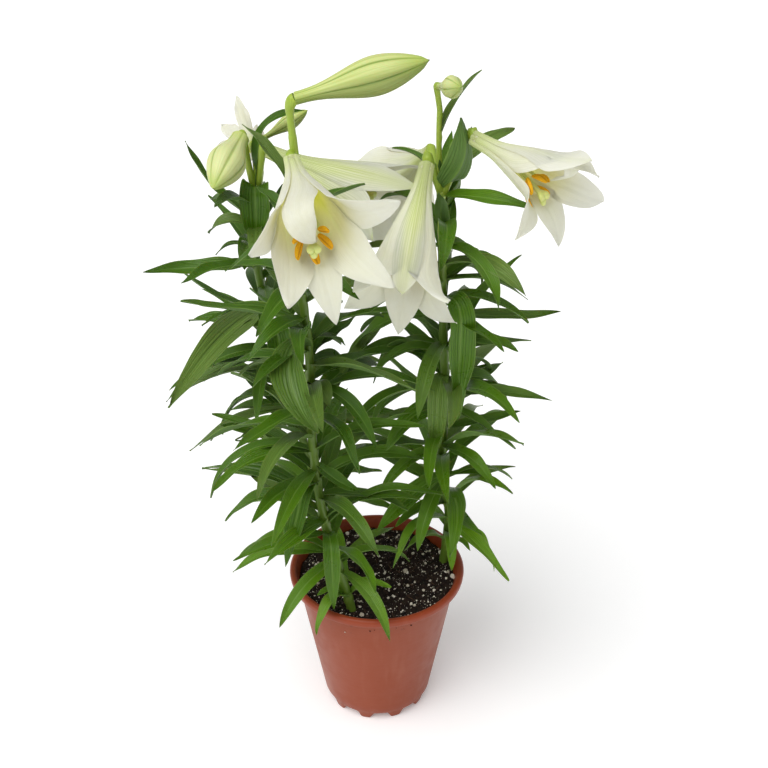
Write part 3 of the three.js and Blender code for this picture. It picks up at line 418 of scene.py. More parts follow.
def even_curve(knots, count):
    """Points at equal steps of length along the smooth curve through the knots."""
    fine = smooth_curve(knots, np.linspace(0, 1, 800))
    lengths = np.concatenate([[0], np.cumsum(np.linalg.norm(np.diff(fine, axis=0), axis=1))])
    wanted = np.linspace(0, lengths[-1], count)
    return np.stack([np.interp(wanted, lengths, fine[:, k]) for k in range(3)], -1)


def lattice_noise(x, y, seed):
    """Smooth noise from 0 to 1: random values at whole numbers, eased between them."""
    column, row = np.floor(x), np.floor(y)
    along, up = x - column, y - row
    along, up = along * along * (3 - 2 * along), up * up * (3 - 2 * up)

    def corner(i, j):
        wave = np.sin((column + i) * 127.1 + (row + j) * 311.7 + seed * 74.7) * 43758.5453
        return wave - np.floor(wave)

    low = mix(corner(0, 0), corner(1, 0), along)
    return mix(low, mix(corner(0, 1), corner(1, 1), along), up)


def placement(piece):
    """Axes of a flower or bud as rows: its top, its side and its own axis; and its base."""
    axis = heading(piece["azimuth"], piece["elevation"])
    side = heading(piece["azimuth"] + 90)
    return np.stack([np.cross(side, axis), side, axis]), np.array(piece["base"], float)


def placed(points, piece):
    """Points from the piece's own frame, with its axis along +Z, to where the piece is."""
    axes, base = placement(piece)
    return points @ axes + base


def turned(first, second, angle):
    """Two coordinates or directions, turned from the first towards the second."""
    cosine, sine = np.cos(angle), np.sin(angle)
    return first * cosine - second * sine, first * sine + second * cosine


# Surfaces


def sheet_faces(rows, columns):
    """Four-cornered faces of a thin closed sheet. Its points are an upper grid and then a
    lower one, and a strip joins their borders."""
    place = np.arange(rows * columns).reshape(rows, columns)
    upper = [place[:-1, :-1], place[:-1, 1:], place[1:, 1:], place[1:, :-1]]
    upper = np.stack(upper, -1).reshape(-1, 4)
    below = rows * columns
    border = np.concatenate([place[0, :-1], place[:-1, -1], place[-1, :0:-1], place[:0:-1, 0]])
    after = np.roll(border, -1)
    strip = np.stack([after, border, border + below, after + below], -1)
    return np.concatenate([upper, upper[:, ::-1] + below, strip])


def closed_tube(rings):
    """A tube through rings of points. Each end is closed by a fan round the middle of its
    ring. Gives the points, the four-cornered faces and the three-cornered ones."""
    rows, sides, _ = rings.shape
    place = np.arange(rows * sides).reshape(rows, sides)
    after = np.roll(place, -1, axis=1)
    quads = np.stack([place[:-1], after[:-1], after[1:], place[1:]], -1).reshape(-1, 4)
    start = np.stack([np.full(sides, rows * sides), after[0], place[0]], -1)
    end = np.stack([np.full(sides, rows * sides + 1), place[-1], after[-1]], -1)
    points = np.vstack([rings.reshape(-1, 3), rings[0].mean(0), rings[-1].mean(0)])
    return points, quads, np.concatenate([start, end])


def with_ends(values):
    """Values on rings of points, followed by the mean of the first and last ring."""
    return np.concatenate([np.ravel(values), [np.mean(values[0]), np.mean(values[-1])]])


def repeated(faces, count, corners):
    """Faces of many parts of one form, each counted from its own first point."""
    return (faces[None] + (np.arange(count) * corners)[:, None, None]).reshape(-1, faces.shape[1])


def lathed(radii, heights, turn):
    """Rings round the upright axis, from a radius and a height for each ring or point."""
    rings = np.asarray(radii, float)[..., None] * heading(turn)
    rings[..., 2] = heights
    return rings


def spokes_along(path, sides):
    """Directions all round a path and square to it. The first lies in the plane of the
    path's two ends."""
    along = unit(np.gradient(path, axis=0))
    level = np.cross(along[0], along[-1])
    if np.linalg.norm(level) < 0.2:
        level = np.cross(along[0], (0, 1, 0) if abs(along[0][1]) < 0.8 else (1, 0, 0))
    side = unit(np.cross(level, along))
    turn = (np.arange(sides) / sides * 2 * np.pi)[None, :, None]
    return side[:, None] * np.cos(turn) + np.cross(along, side)[:, None] * np.sin(turn)


def swept_rings(path, radii, sides):
    """Circles square to a path. Radii has one value for each ring or for each point."""
    return path[:, None] + spokes_along(path, sides) * np.reshape(radii, (len(path), -1, 1))


class Surface:
    """Points, faces and values per point of one piece, gathered part by part."""

    def __init__(self, *values):
        self.points, self.quads, self.triangles, self.places = [], [], [], []
        self.values = {name: [] for name in values}
        self.count = 0

    def add(self, points, quads=None, triangles=None, places=None, **values):
        """Adds a part, whose faces count from its own first point."""
        points = np.reshape(points, (-1, 3))
        if quads is not None:
            self.quads.append(np.asarray(quads) + self.count)
        if triangles is not None:
            self.triangles.append(np.asarray(triangles) + self.count)
        if places is None:
            places = np.zeros((len(points), 2))
        self.places.append(np.reshape(places, (-1, 2)))
        for name, store in self.values.items():
            store.append(np.broadcast_to(np.ravel(values.get(name, 0.0)), len(points)))
        self.points.append(points)
        self.count += len(points)

    def tube(self, rings, **values):
        """Adds a closed tube. Values are given on its rings."""
        points, quads, triangles = closed_tube(rings)
        shape = rings.shape[:2]
        given = {name: with_ends(np.broadcast_to(value, shape)) for name, value in values.items()}
        self.add(points, quads, triangles, **given)

    def sheet(self, upper, lower, places, **values):
        """Adds a closed sheet from two grids of points. Values are pairs, upper and lower."""
        rows, columns, _ = upper.shape
        given = {
            name: np.concatenate([np.broadcast_to(part, (rows, columns)).ravel() for part in pair])
            for name, pair in values.items()
        }
        both = np.stack([upper, lower])
        self.add(both, sheet_faces(rows, columns), places=np.stack([places, places]), **given)

    def build(self, name, material, replaced=(), crease=50):
        """Makes the piece, whose faces meet smoothly below the crease angle."""
        empty = np.zeros((0, 4), int)
        quads = np.concatenate([empty, *self.quads])
        triangles = np.concatenate([empty[:, :3], *self.triangles])
        corners = np.concatenate([quads.ravel(), triangles.ravel()]).astype(np.int32)
        fours, threes = np.arange(len(quads)) * 4, np.arange(len(triangles)) * 3
        starts = np.concatenate([fours, len(quads) * 4 + threes])
        points = np.concatenate(self.points) * MM
        mesh = bpy.data.meshes.new(name)
        mesh.vertices.add(self.count)
        mesh.vertices.foreach_set("co", points.astype(np.float32).ravel())
        mesh.loops.add(len(corners))
        mesh.loops.foreach_set("vertex_index", corners)
        mesh.polygons.add(len(starts))
        mesh.polygons.foreach_set("loop_start", starts.astype(np.int32))
        mesh.update(calc_edges=True)
        places = np.concatenate(self.places)
        if places.any():
            layer = mesh.uv_layers.new(name="surface")
            layer.data.foreach_set("uv", places[corners].astype(np.float32).ravel())
        for key, store in self.values.items():
            attribute = mesh.attributes.new(key, "FLOAT", "POINT")
            attribute.data.foreach_set("value", np.concatenate(store).astype(np.float32))
        if mesh.validate():
            raise RuntimeError(f"the mesh of {name} has faults")
        mesh.set_sharp_from_angle(angle=math.radians(crease))
        return show_piece(name, mesh, material, replaced)


def show_piece(name, mesh, material, replaced=()):
    """Puts a mesh into the scene as a piece of the object, in place of one made before."""
    old = bpy.data.objects.get(name)
    if old:
        bpy.data.objects.remove(old)
    piece = bpy.data.objects.new(name, mesh)
    bpy.context.scene.collection.objects.link(piece)
    mesh.materials.append(material)
    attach(piece, "root")
    if replaced:
        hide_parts(*replaced)
    return piece


# Materials


class Nodes:
    """Adds nodes to one tree. Where a value is wanted it takes a socket, which it links, or
    a number, vector or colour, which it sets."""

    def __init__(self, tree):
        self.tree = tree

    def feed(self, entry, value):
        """Links a socket to a node's input, or sets the input to a value."""
        if isinstance(value, bpy.types.NodeSocket):
            self.tree.links.new(value, entry)
        elif isinstance(value, (int, float)):
            entry.default_value = value
        else:
            entry.default_value = (*value, 1.0)[:len(entry.default_value)]

    def add(self, kind, inputs, **settings):
        """A node with its settings and its inputs."""
        made = self.tree.nodes.new("ShaderNode" + kind)
        for name, value in settings.items():
            setattr(made, name, value)
        for name, value in inputs.items():
            self.feed(made.inputs[name], value)
        return made

    def sum(self, operation, first, second=0.0):
        """The result of one sum on two values."""
        return self.add("Math", {0: first, 1: second}, operation=operation).outputs[0]

    def times(self, first, *others):
        """All the values multiplied together."""
        for other in others:
            first = self.sum("MULTIPLY", first, other)
        return first

    def spread(self, value, low, high, to_low=0.0, to_high=1.0, kind="SMOOTHSTEP"):
        """A value's range from low to high, mapped to another range and held there."""
        ends = {0: value, 1: low, 2: high, 3: to_low, 4: to_high}
        return self.add("MapRange", ends, interpolation_type=kind).outputs[0]

    def mix(self, share, low, high, blend="MIX"):
        """Two colours mixed by a share."""
        given = {0: share, 6: low, 7: high}
        return self.add("Mix", given, data_type="RGBA", blend_type=blend).outputs[2]

    def noise(self, place, scale, detail=2.0):
        """Soft noise from 0 to 1."""
        given = {"Vector": place, "Scale": scale, "Detail": detail}
        return self.add("TexNoise", given).outputs[0]

    def stretched(self, place, stretch):
        """Coordinates multiplied along each axis."""
        return self.add("Mapping", {"Vector": place, "Scale": stretch}).outputs[0]

    def place(self, *stretch):
        """Object coordinates in metres, stretched along each axis where that is given."""
        coordinates = self.add("TexCoord", {}).outputs["Object"]
        return self.stretched(coordinates, stretch) if stretch else coordinates

    def surface(self):
        """The piece's own coordinates: across it and along it, from 0 to 1."""
        return self.add("UVMap", {}, uv_map="surface").outputs[0]

    def parts(self, vector):
        """The three coordinates of a place."""
        return self.add("SeparateXYZ", {0: vector}).outputs

    def value(self, name):
        """A value that the mesh holds for each point."""
        given = dict(attribute_name=name, attribute_type="GEOMETRY")
        return self.add("Attribute", {}, **given).outputs["Fac"]

    def group(self, name, *values):
        """The outputs of a shared node group, placed here with its own values."""
        given = dict(zip(["Place", *GROUPS[name][1]], values))
        return self.add("Group", given, node_tree=node_group(name)).outputs


def mottle(nodes, place, scale, fine):
    """Uneven tone: broad noise with a share of fine noise in it, spread to 0 and 1."""
    broad, small = nodes.noise(place, scale, 3.0), nodes.noise(place, nodes.times(scale, 7.0))
    blend = nodes.add("Mix", {0: fine, 2: broad, 3: small}).outputs[0]
    return [nodes.spread(blend, 0.32, 0.68)]


def lengthwise_veins(nodes, place, count, wander):
    """Lines along a leaf or petal: evenly spaced ones that wander a little, and fine
    fibres, which are noise drawn out along the length."""
    drift = nodes.noise(nodes.stretched(place, (2.0, 1.5, 1.0)), 2.0, 1.0)
    drift = nodes.times(nodes.sum("SUBTRACT", drift, 0.5), wander)
    phase = nodes.times(nodes.sum("ADD", nodes.parts(place)[0], drift), count)
    wave = nodes.sum("SUBTRACT", nodes.sum("FRACT", phase), 0.5)
    vein = nodes.spread(nodes.sum("ABSOLUTE", wave), 0.0, 0.2, 1.0, 0.0)
    fibre = nodes.noise(nodes.stretched(place, (60.0, 2.5, 1.0)), 1.0, 3.0)
    return [vein, nodes.spread(fibre, 0.35, 0.65)]


def specks(nodes, place, scale, size):
    """Scattered round specks: near the middle of some cells of a cell pattern."""
    cells = nodes.add("TexVoronoi", {"Vector": place, "Scale": scale}).outputs
    chosen = nodes.add("SeparateColor", {0: cells["Color"]}).outputs[0]
    limit = nodes.times(size, nodes.spread(chosen, 0.5, 1.0, kind="LINEAR"))
    return [nodes.sum("LESS_THAN", cells["Distance"], limit)]


# The shared effects: what wires each, its numbers and its results
GROUPS = {
    "mottle": (mottle, {"Scale": 20.0, "Fine": 0.35}, ["Tone"]),
    "lengthwise_veins": (lengthwise_veins, {"Count": 10.0, "Wander": 0.02}, ["Vein", "Fibre"]),
    "specks": (specks, {"Scale": 100.0, "Size": 0.2}, ["Speck"]),
}


def node_group(name):
    """A shared node group, built the first time that it is asked for."""
    made = bpy.data.node_groups.get(name)
    if made:
        return made
    wire, numbers, results = GROUPS[name]
    made = bpy.data.node_groups.new(name, "ShaderNodeTree")
    add_socket = made.interface.new_socket
    add_socket(name="Place", in_out="INPUT", socket_type="NodeSocketVector")
    for key, value in numbers.items():
        socket = add_socket(name=key, in_out="INPUT", socket_type="NodeSocketFloat")
        socket.default_value = value
    for key in results:
        add_socket(name=key, in_out="OUTPUT", socket_type="NodeSocketFloat")
    given, end = made.nodes.new("NodeGroupInput"), made.nodes.new("NodeGroupOutput")
    nodes = Nodes(made)
    wired = wire(nodes, *(given.outputs[key] for key in ["Place", *numbers]))
    for key, socket in zip(results, wired):
        nodes.feed(end.inputs[key], socket)
    return made


class Finish(Nodes):
    """One material, whose colour is laid on coat by coat."""

    def __init__(self, name, colour, **constants):
        old = bpy.data.materials.get(name)
        if old:
            bpy.data.materials.remove(old)
        self.material = bpy.data.materials.new(name)
        self.material.use_nodes = True
        super().__init__(self.material.node_tree)
        self.shader = self.tree.nodes["Principled BSDF"].inputs
        self.colour = colour
        for key, value in constants.items():
            self.shader[key.replace("_", " ")].default_value = value

    def coat(self, colour, *masks, blend="MIX"):
        """Lays a colour over the one so far, by the product of the masks."""
        self.colour = self.mix(self.times(*masks), self.colour, colour, blend)

    def tone(self, colour, *masks):
        """Multiplies the colour so far by another, by the product of the masks."""
        self.coat(colour, *masks, blend="MULTIPLY")

    def done(self, height=None, depth=0.0, strength=1.0, roughness=None):
        """The material, with its colour, its roughness if that varies, and fine relief of
        a depth in millimetres."""
        self.feed(self.shader["Base Color"], self.colour)
        if roughness is not None:
            self.feed(self.shader["Roughness"], roughness)
        if height is not None:
            given = {"Height": height, "Distance": depth * MM, "Strength": strength}
            self.feed(self.shader["Normal"], self.add("Bump", given).outputs[0])
        return self.material


def linear(red, green, blue):
    """A colour from its screen values of 0 to 255, as light."""
    screen = np.array([red, green, blue]) / 255
    light = np.where(screen <= 0.04045, screen / 12.92, ((screen + 0.055) / 1.055) ** 2.4)
    return tuple(light.tolist())


# Settings


def tint(name, description, *colour):
    """A colour that the user can change."""
    return FloatVectorProperty(
        name=name, description=description, default=linear(*colour),
        subtype="COLOR", size=3, min=0, max=1,
    )


def size_of(name, description, default):
    """A length that the user can change, in metres."""
    return FloatProperty(
        name=name, description=description, default=default, unit="LENGTH", precision=4,
    )


def plain(name, description, default, **limits):
    """A plain number that the user can change."""
    return FloatProperty(name=name, description=description, default=default, **limits)


def count_of(name, description, default):
    """A number of like parts that the user can change."""
    return IntProperty(name=name, description=description, default=default, min=0)


class LILY_PG_pot(bpy.types.PropertyGroup):
    height: size_of("Height", "Height of the pot over its foot", POT_HEIGHT * MM)
    rim_radius: size_of("Rim radius", "Outer radius of the rolled rim", RIM_RADIUS * MM)
    wall: size_of("Wall", "Thickness of the wall", 0.0016)
    wall_colour: tint("Wall colour", "Colour of the wall's plastic", 141, 60, 24)
    rim_colour: tint("Rim colour", "Colour of the rim, a little warmer", 144, 58, 24)


class LILY_PG_soil(bpy.types.PropertyGroup):
    crumb_height: size_of("Crumb height", "How far the crumbly top rises and falls", 0.0024)
    perlite: count_of("Perlite", "Number of small perlite grains", 700)
    crumbs: count_of("Crumbs", "Number of loose crumbs", 1360)
    fibres: count_of("Fibres", "Number of plant fibres", 130)
    dark_colour: tint("Dark colour", "Colour of wet peat", 18, 12, 10)
    light_colour: tint("Light colour", "Colour of drier peat", 66, 47, 36)
    perlite_colour: tint("Perlite colour", "Colour of the perlite grains", 246, 238, 222)
    fibre_colour: tint("Fibre colour", "Colour of the fibres", 122, 88, 60)


class LILY_PG_leaves(bpy.types.PropertyGroup):
    thickness: size_of("Thickness", "Thickness of a blade beside its midrib", 0.0004)
    channel: plain("Channel", "Depth of a blade's channel as a share of its width", 0.21, min=0)
    edge_wave: size_of("Edge wave", "How far the edges rise and fall", 0.0011)
    twist: plain("Twist", "Share of each blade's own turn about its midrib", 1.0)
    deep_colour: tint("Deep colour", "Colour of the upper leaves", 62, 100, 12)
    fresh_colour: tint("Fresh colour", "Colour of the lower and young leaves", 112, 158, 26)
    under_colour: tint("Underside colour", "Colour of the undersides", 94, 124, 64)
    rib_colour: tint("Midrib colour", "Colour of the midrib and the edges", 126, 158, 72)
    stem_colour: tint("Stem colour", "Colour of the stems and stalks", 168, 190, 66)
    stem_dark_colour: tint("Stem shade", "Darker colour in the stems", 128, 158, 44)
    scar_colour: tint("Scar colour", "Colour of a leaf scar", 140, 84, 44)


class LILY_PG_flowers(bpy.types.PropertyGroup):
    thickness: size_of("Thickness", "Thickness of a tepal at its midrib", 0.0009)
    ruffle: size_of("Ruffle", "How far the tepals' edges rise and fall", 0.0016)
    # Strength of the painted glow: emission in the throat that stands in for light let through the
    # tepals.
    glow: plain("Glow", "Light that the thin tepals let through into the throat", 0.3, min=0)
    white_colour: tint("White", "Colour of the tepals", 226, 226, 207)
    cream_colour: tint("Cream", "Colour of the inner face near the throat", 212, 209, 156)
    throat_colour: tint("Throat colour", "Colour of the throat", 214, 212, 62)
    green_colour: tint("Green", "Colour of the tube's base and the midribs", 210, 220, 146)
    deep_green_colour: tint("Deep green", "Colour of the lines at the base", 132, 152, 62)


class LILY_PG_stamens(bpy.types.PropertyGroup):
    anther_colour: tint("Anther colour", "Colour of the pollen", 230, 166, 14)
    groove_colour: tint("Groove colour", "Colour in the anther's groove", 176, 112, 10)
    filament_colour: tint(
        "Filament colour", "Colour of the filaments and the style", 212, 222, 150,
    )
    stigma_colour: tint("Stigma colour", "Colour of the stigma", 214, 222, 134)


class LILY_PG_buds(bpy.types.PropertyGroup):
    rib_depth: plain("Rib depth", "Depth of the ribs as a share of the radius", 0.06, min=0)
    crest_colour: tint("Crest colour", "Colour of the raised parts", 204, 214, 134)
    valley_colour: tint("Valley colour", "Colour of the lines between the tepals", 136, 162, 64)
    streak_colour: tint("Streak colour", "Colour of the fine streaks", 160, 176, 70)
    pale_colour: tint("Pale colour", "Colour of a bud that is about to open", 218, 222, 164)
    tip_colour: tint("Tip colour", "Colour of the dry tip", 44, 36, 24)


class LILY_PG_stage(bpy.types.PropertyGroup):
    floor_colour: tint("Floor colour", "Colour of the floor", 250, 250, 250)
    sky: plain("Sky", "Strength of the light from all round", 0.45, min=0)
    key: plain("Key light", "Strength of the soft light from the upper left", 2.4, min=0)
    lens: plain("Lens", "Focal length of the camera in millimetres", 71.4, min=1)


# Pot


def wall_radius(height):
    """Outer radius of the wall, in a straight line from its lower edge to the rim."""
    share = (height - NOTCH_HEIGHT) / (POT_HEIGHT - RIM_BAND - NOTCH_HEIGHT)
    return mix(BASE_RADIUS, RIM_RADIUS - RIM_ROLL, share)


def lug_share(turn):
    """How far the foot ring is let down at an angle: 1 on each lug, with eased flanks."""
    pitch = 360.0 / LUGS
    from_middle = np.abs((turn - LUG_AZIMUTH + pitch / 2) % pitch - pitch / 2)
    return 1 - ramp((from_middle - LUG_HALF) / LUG_FLANK)


def pot_profile(height, rim_radius, wall):
    """Radius and height of points round the pot's section, from the middle of the floor's
    underside over the foot, wall and rolled rim and down the inside. The last column
    is how far the lugs let each point down."""
    under = height - RIM_BAND
    top_radius = float(wall_radius(under))
    bead = np.radians(np.linspace(-62, 150, 15))[4:]
    sides = mix(NOTCH_HEIGHT + 6, under - 3, np.linspace(0, 1, 22))
    outside = [(radius, z, 0) for radius, z in zip(wall_radius(sides) + 0.12, sides)]
    within = [(radius, z, 0) for radius, z in zip(wall_radius(sides) - wall, sides)]
    centre = [1.0, 14, DRAIN_RING_RADIUS + 8]
    foot = [
        (FLOOR_RADIUS, FLOOR_UNDERSIDE, 0), (FLOOR_RADIUS, 3.2, 0), (42.4, 5.5, 0.15),
        (43.2, 6.2, 0.8), (43.9, NOTCH_HEIGHT, 1), (46.6, NOTCH_HEIGHT, 1),
        (47.9, NOTCH_HEIGHT, 1), (48.7, 6.7, 0.9), (49.4, 7.4, 0.62), (50.2, 8.1, 0.3),
        (51.0, 9.0, 0.08), (51.7, 10.5, 0),
    ]
    rim = [
        (top_radius + 0.1, under - 1.3, 0), (top_radius + 0.5, under - 0.4, 0),
        (top_radius + 1.6, under, 0), (rim_radius - 3.2, under + 0.1, 0),
        (rim_radius - 1.5, under + 0.5, 0), (rim_radius - 0.7, under + 1.3, 0),
        (rim_radius - 0.35, under + 2.6, 0),
    ]
    rim += [
        (rim_radius + BEAD_RADIUS * (math.cos(a) - 1), height + BEAD_RADIUS * (math.sin(a) - 1), 0)
        for a in bead
    ]
    rim += [
        (top_radius + 0.4, height - 3.6, 0), (top_radius - 0.4, height - 5.2, 0),
        (top_radius - wall + 0.2, under - 1, 0),
    ]
    floor = [(49.8, 10.5, 0), (47.4, 8.9, 0), (43.0, 8.4, 0), (42.2, 5.3, 0), (40.5, FLOOR_TOP, 0)]
    return np.array([
        *((radius, FLOOR_UNDERSIDE, 0) for radius in centre), *foot, *outside, *rim,
        *within[::-1], *floor, *((radius, FLOOR_TOP, 0) for radius in centre[::-1]),
    ])


def pot_finish(settings):
    """Satin terracotta plastic: a warmer rim, faint clouds, moulding rings and soil dust."""
    finish = Finish("terracotta_plastic", settings.wall_colour, Specular_IOR_Level=0.34)
    place = finish.place()
    height = finish.parts(place)[2]
    finish.coat(settings.rim_colour, finish.spread(height, 0.1465, 0.1490))
    cloud = finish.group("mottle", place, 14.0, 0.3)[0]
    finish.tone((0.62, 0.55, 0.5), cloud, 0.1)
    streak = finish.noise(finish.place(90.0, 90.0, 7.0), 1.0)
    finish.coat(linear(206, 150, 124), finish.spread(streak, 0.5, 0.8), 0.05)
    dust = finish.group("specks", place, 210.0, 0.3)[0]
    near_rim = finish.spread(height, 0.118, 0.143), finish.spread(height, 0.147, 0.144)
    finish.coat(linear(70, 42, 30), dust, finish.times(*near_rim), 0.35)
    rings = {"Vector": place, "Scale": 55.0, "Distortion": 1.5, "Detail": 2.0}
    rings = finish.add("TexWave", rings, bands_direction="Z").outputs[1]
    grain = finish.times(finish.noise(place, 900.0), 0.15)
    relief = finish.sum("ADD", finish.times(rings, 0.05), grain)
    return finish.done(relief, 0.25, roughness=finish.spread(cloud, 0.0, 1.0, 0.36, 0.5))


class LILY_OT_pot(bpy.types.Operator):
    """Makes the pot: a section carried round, with ten lugs under its foot and five drain holes"""

    bl_idname = "lily.pot"
    bl_label = "Pot"

    def execute(self, context):
        settings = context.scene.lily_pot
        sizes = settings.height, settings.rim_radius, settings.wall
        profile = pot_profile(*(size / MM for size in sizes))
        turn = np.arange(240) * 360 / 240
        heights = profile[:, 1:2] * (1 - profile[:, 2:] * lug_share(turn))
        pot = Surface()
        pot.tube(lathed(profile[:, :1], heights, turn))
        material = pot_finish(settings)
        piece = pot.build("pot_shell", material, ["pot"], crease=POT_CREASE)
        cutters = Surface()
        for index in range(DRAIN_HOLES):
            middle = heading(index * 360 / DRAIN_HOLES) * DRAIN_RING_RADIUS
            circle = heading(np.arange(28) * 360 / 28) * DRAIN_HOLE_RADIUS + middle
            cutters.tube(np.stack([circle + (0, 0, -4), circle + (0, 0, 12)]))
        tool = cutters.build("drain_cutters", material)
        cut = piece.modifiers.new("drain holes", "BOOLEAN")
        cut.operation, cut.solver, cut.object = "DIFFERENCE", "EXACT", tool
        bpy.context.view_layer.update()
        solved = piece.evaluated_get(context.evaluated_depsgraph_get())
        pierced = bpy.data.meshes.new_from_object(solved)
        piece.modifiers.remove(cut)
        piece.data = pierced
        pierced.name = "pot_shell"
        pierced.set_sharp_from_angle(angle=math.radians(POT_CREASE))
        bpy.data.objects.remove(tool)
        return {"FINISHED"}


# Soil


def soil_height(x, y, crumb_height):
    """Height of the soil's top: the solid's slow lumps, with crumbs of three sizes."""
    lumps = np.sin(x * 0.21 + 1.3) * np.cos(y * 0.19 - 0.4) + 0.6 * np.sin(x * 0.43 - y * 0.37)
    crumbs = 1.3 * (lattice_noise(x / 6.5, y / 6.5, 1) - 0.5)
    crumbs += 1.2 * np.abs(2 * lattice_noise(x / 2.8, y / 2.8, 2) - 1)
    crumbs += 0.6 * np.abs(2 * lattice_noise(x / 1.3, y / 1.3, 3) - 1)
    return SOIL_TOP + SOIL_LUMP * lumps + crumbs * crumb_height / 2.4


def grain_form():
    """Directions and faces of a rounded grain of a few dozen faces."""
    rise = np.radians([-58, -20, 20, 58])[:, None]
    turn = np.arange(7)[None] * 2 * np.pi / 7 + np.array([0, 0.45, 0, 0.45])[:, None]
    flat = np.cos(rise)
    rings = np.stack([flat * np.cos(turn), flat * np.sin(turn), np.sin(rise) + 0 * turn], -1)
    points, quads, triangles = closed_tube(rings)
    points[-2], points[-1] = (0, 0, -1), (0, 0, 1)
    return points, quads, triangles


def add_grains(surface, centres, radii, salt, rough, squash, **values):
    """Adds grains. Each is turned and squashed at random and every corner is moved in or
    out, so that no two are alike."""
    form, quads, triangles = grain_form()
    count, corners = len(centres), len(form)
    index = np.arange(count)
    spin = vary(index, salt + 1) * 2 * np.pi
    lean = (vary(index, salt + 2) - 0.5) * 1.4
    moved = 1 + rough * (2 * vary(index[:, None] * 37 + np.arange(corners)[None], salt) - 1)
    wide, deep = (mix(0.75, 1.2, vary(index, salt + k)) for k in (3, 4))
    scale = np.stack([wide, deep, squash + 0 * spin], -1)
    x, y, z = np.moveaxis(form[None] * moved[..., None] * scale[:, None], -1, 0)
    y, z = turned(y, z, lean[:, None])
    x, y = turned(x, y, spin[:, None])
    points = np.asarray(centres)[:, None] + np.stack([x, y, z], -1) * np.reshape(radii, (-1, 1, 1))
    given = {name: np.repeat(value, corners) for name, value in values.items()}
    faces = (repeated(part, count, corners) for part in (quads, triangles))
    surface.add(points, *faces, **given)


def scattered(count, reach, salt):
    """Places spread evenly over a disc: the radius is the root of an even number."""
    index = np.arange(count)
    radius = reach * np.sqrt(vary(index, salt))
    turn = vary(index, salt + 0.5) * 360
    return heading(turn)[:, :2] * radius[:, None]


def soil_finish(settings):
    """Dark crumbly peat: two browns by noise and fine pale specks."""
    finish = Finish("peat", settings.dark_colour, Roughness=0.92, Specular_IOR_Level=0.25)
    place = finish.place()
    finish.coat(settings.light_colour, finish.group("mottle", place, 190.0, 0.5)[0], 0.55)
    finish.coat(settings.perlite_colour, finish.group("specks", place, 520.0, 0.34)[0], 0.55)
    return finish.done(finish.noise(place, 1500.0, 4.0), 0.8)


def crumb_finish(settings):
    """Loose peat: each crumb has its own brown."""
    finish = Finish("peat_crumbs", settings.dark_colour, Roughness=0.9, Specular_IOR_Level=0.3)
    grain = finish.noise(finish.place(), 1300.0, 3.0)
    shade = finish.spread(grain, 0.3, 0.7, 0.5, 1.2)
    finish.coat(settings.light_colour, finish.value("tone"), shade)
    return finish.done(grain, 0.5)


def perlite_finish(settings):
    """Chalky white grains with small grey pores."""
    finish = Finish("perlite", settings.perlite_colour, Roughness=0.85, Specular_IOR_Level=0.3)
    place = finish.place()
    finish.coat(linear(150, 132, 108), finish.value("tone"), 0.7)
    finish.coat(linear(120, 104, 84), finish.group("specks", place, 1600.0, 0.5)[0], 0.35)
    return finish.done(finish.noise(place, 1100.0, 3.0), 0.6)


def fibre_finish(settings):
    """Brown plant fibres, darker along some stretches."""
    finish = Finish("fibres", settings.fibre_colour, Roughness=0.8)
    finish.coat(linear(64, 44, 30), finish.group("mottle", finish.place(), 160.0, 0.4)[0])
    return finish.done()


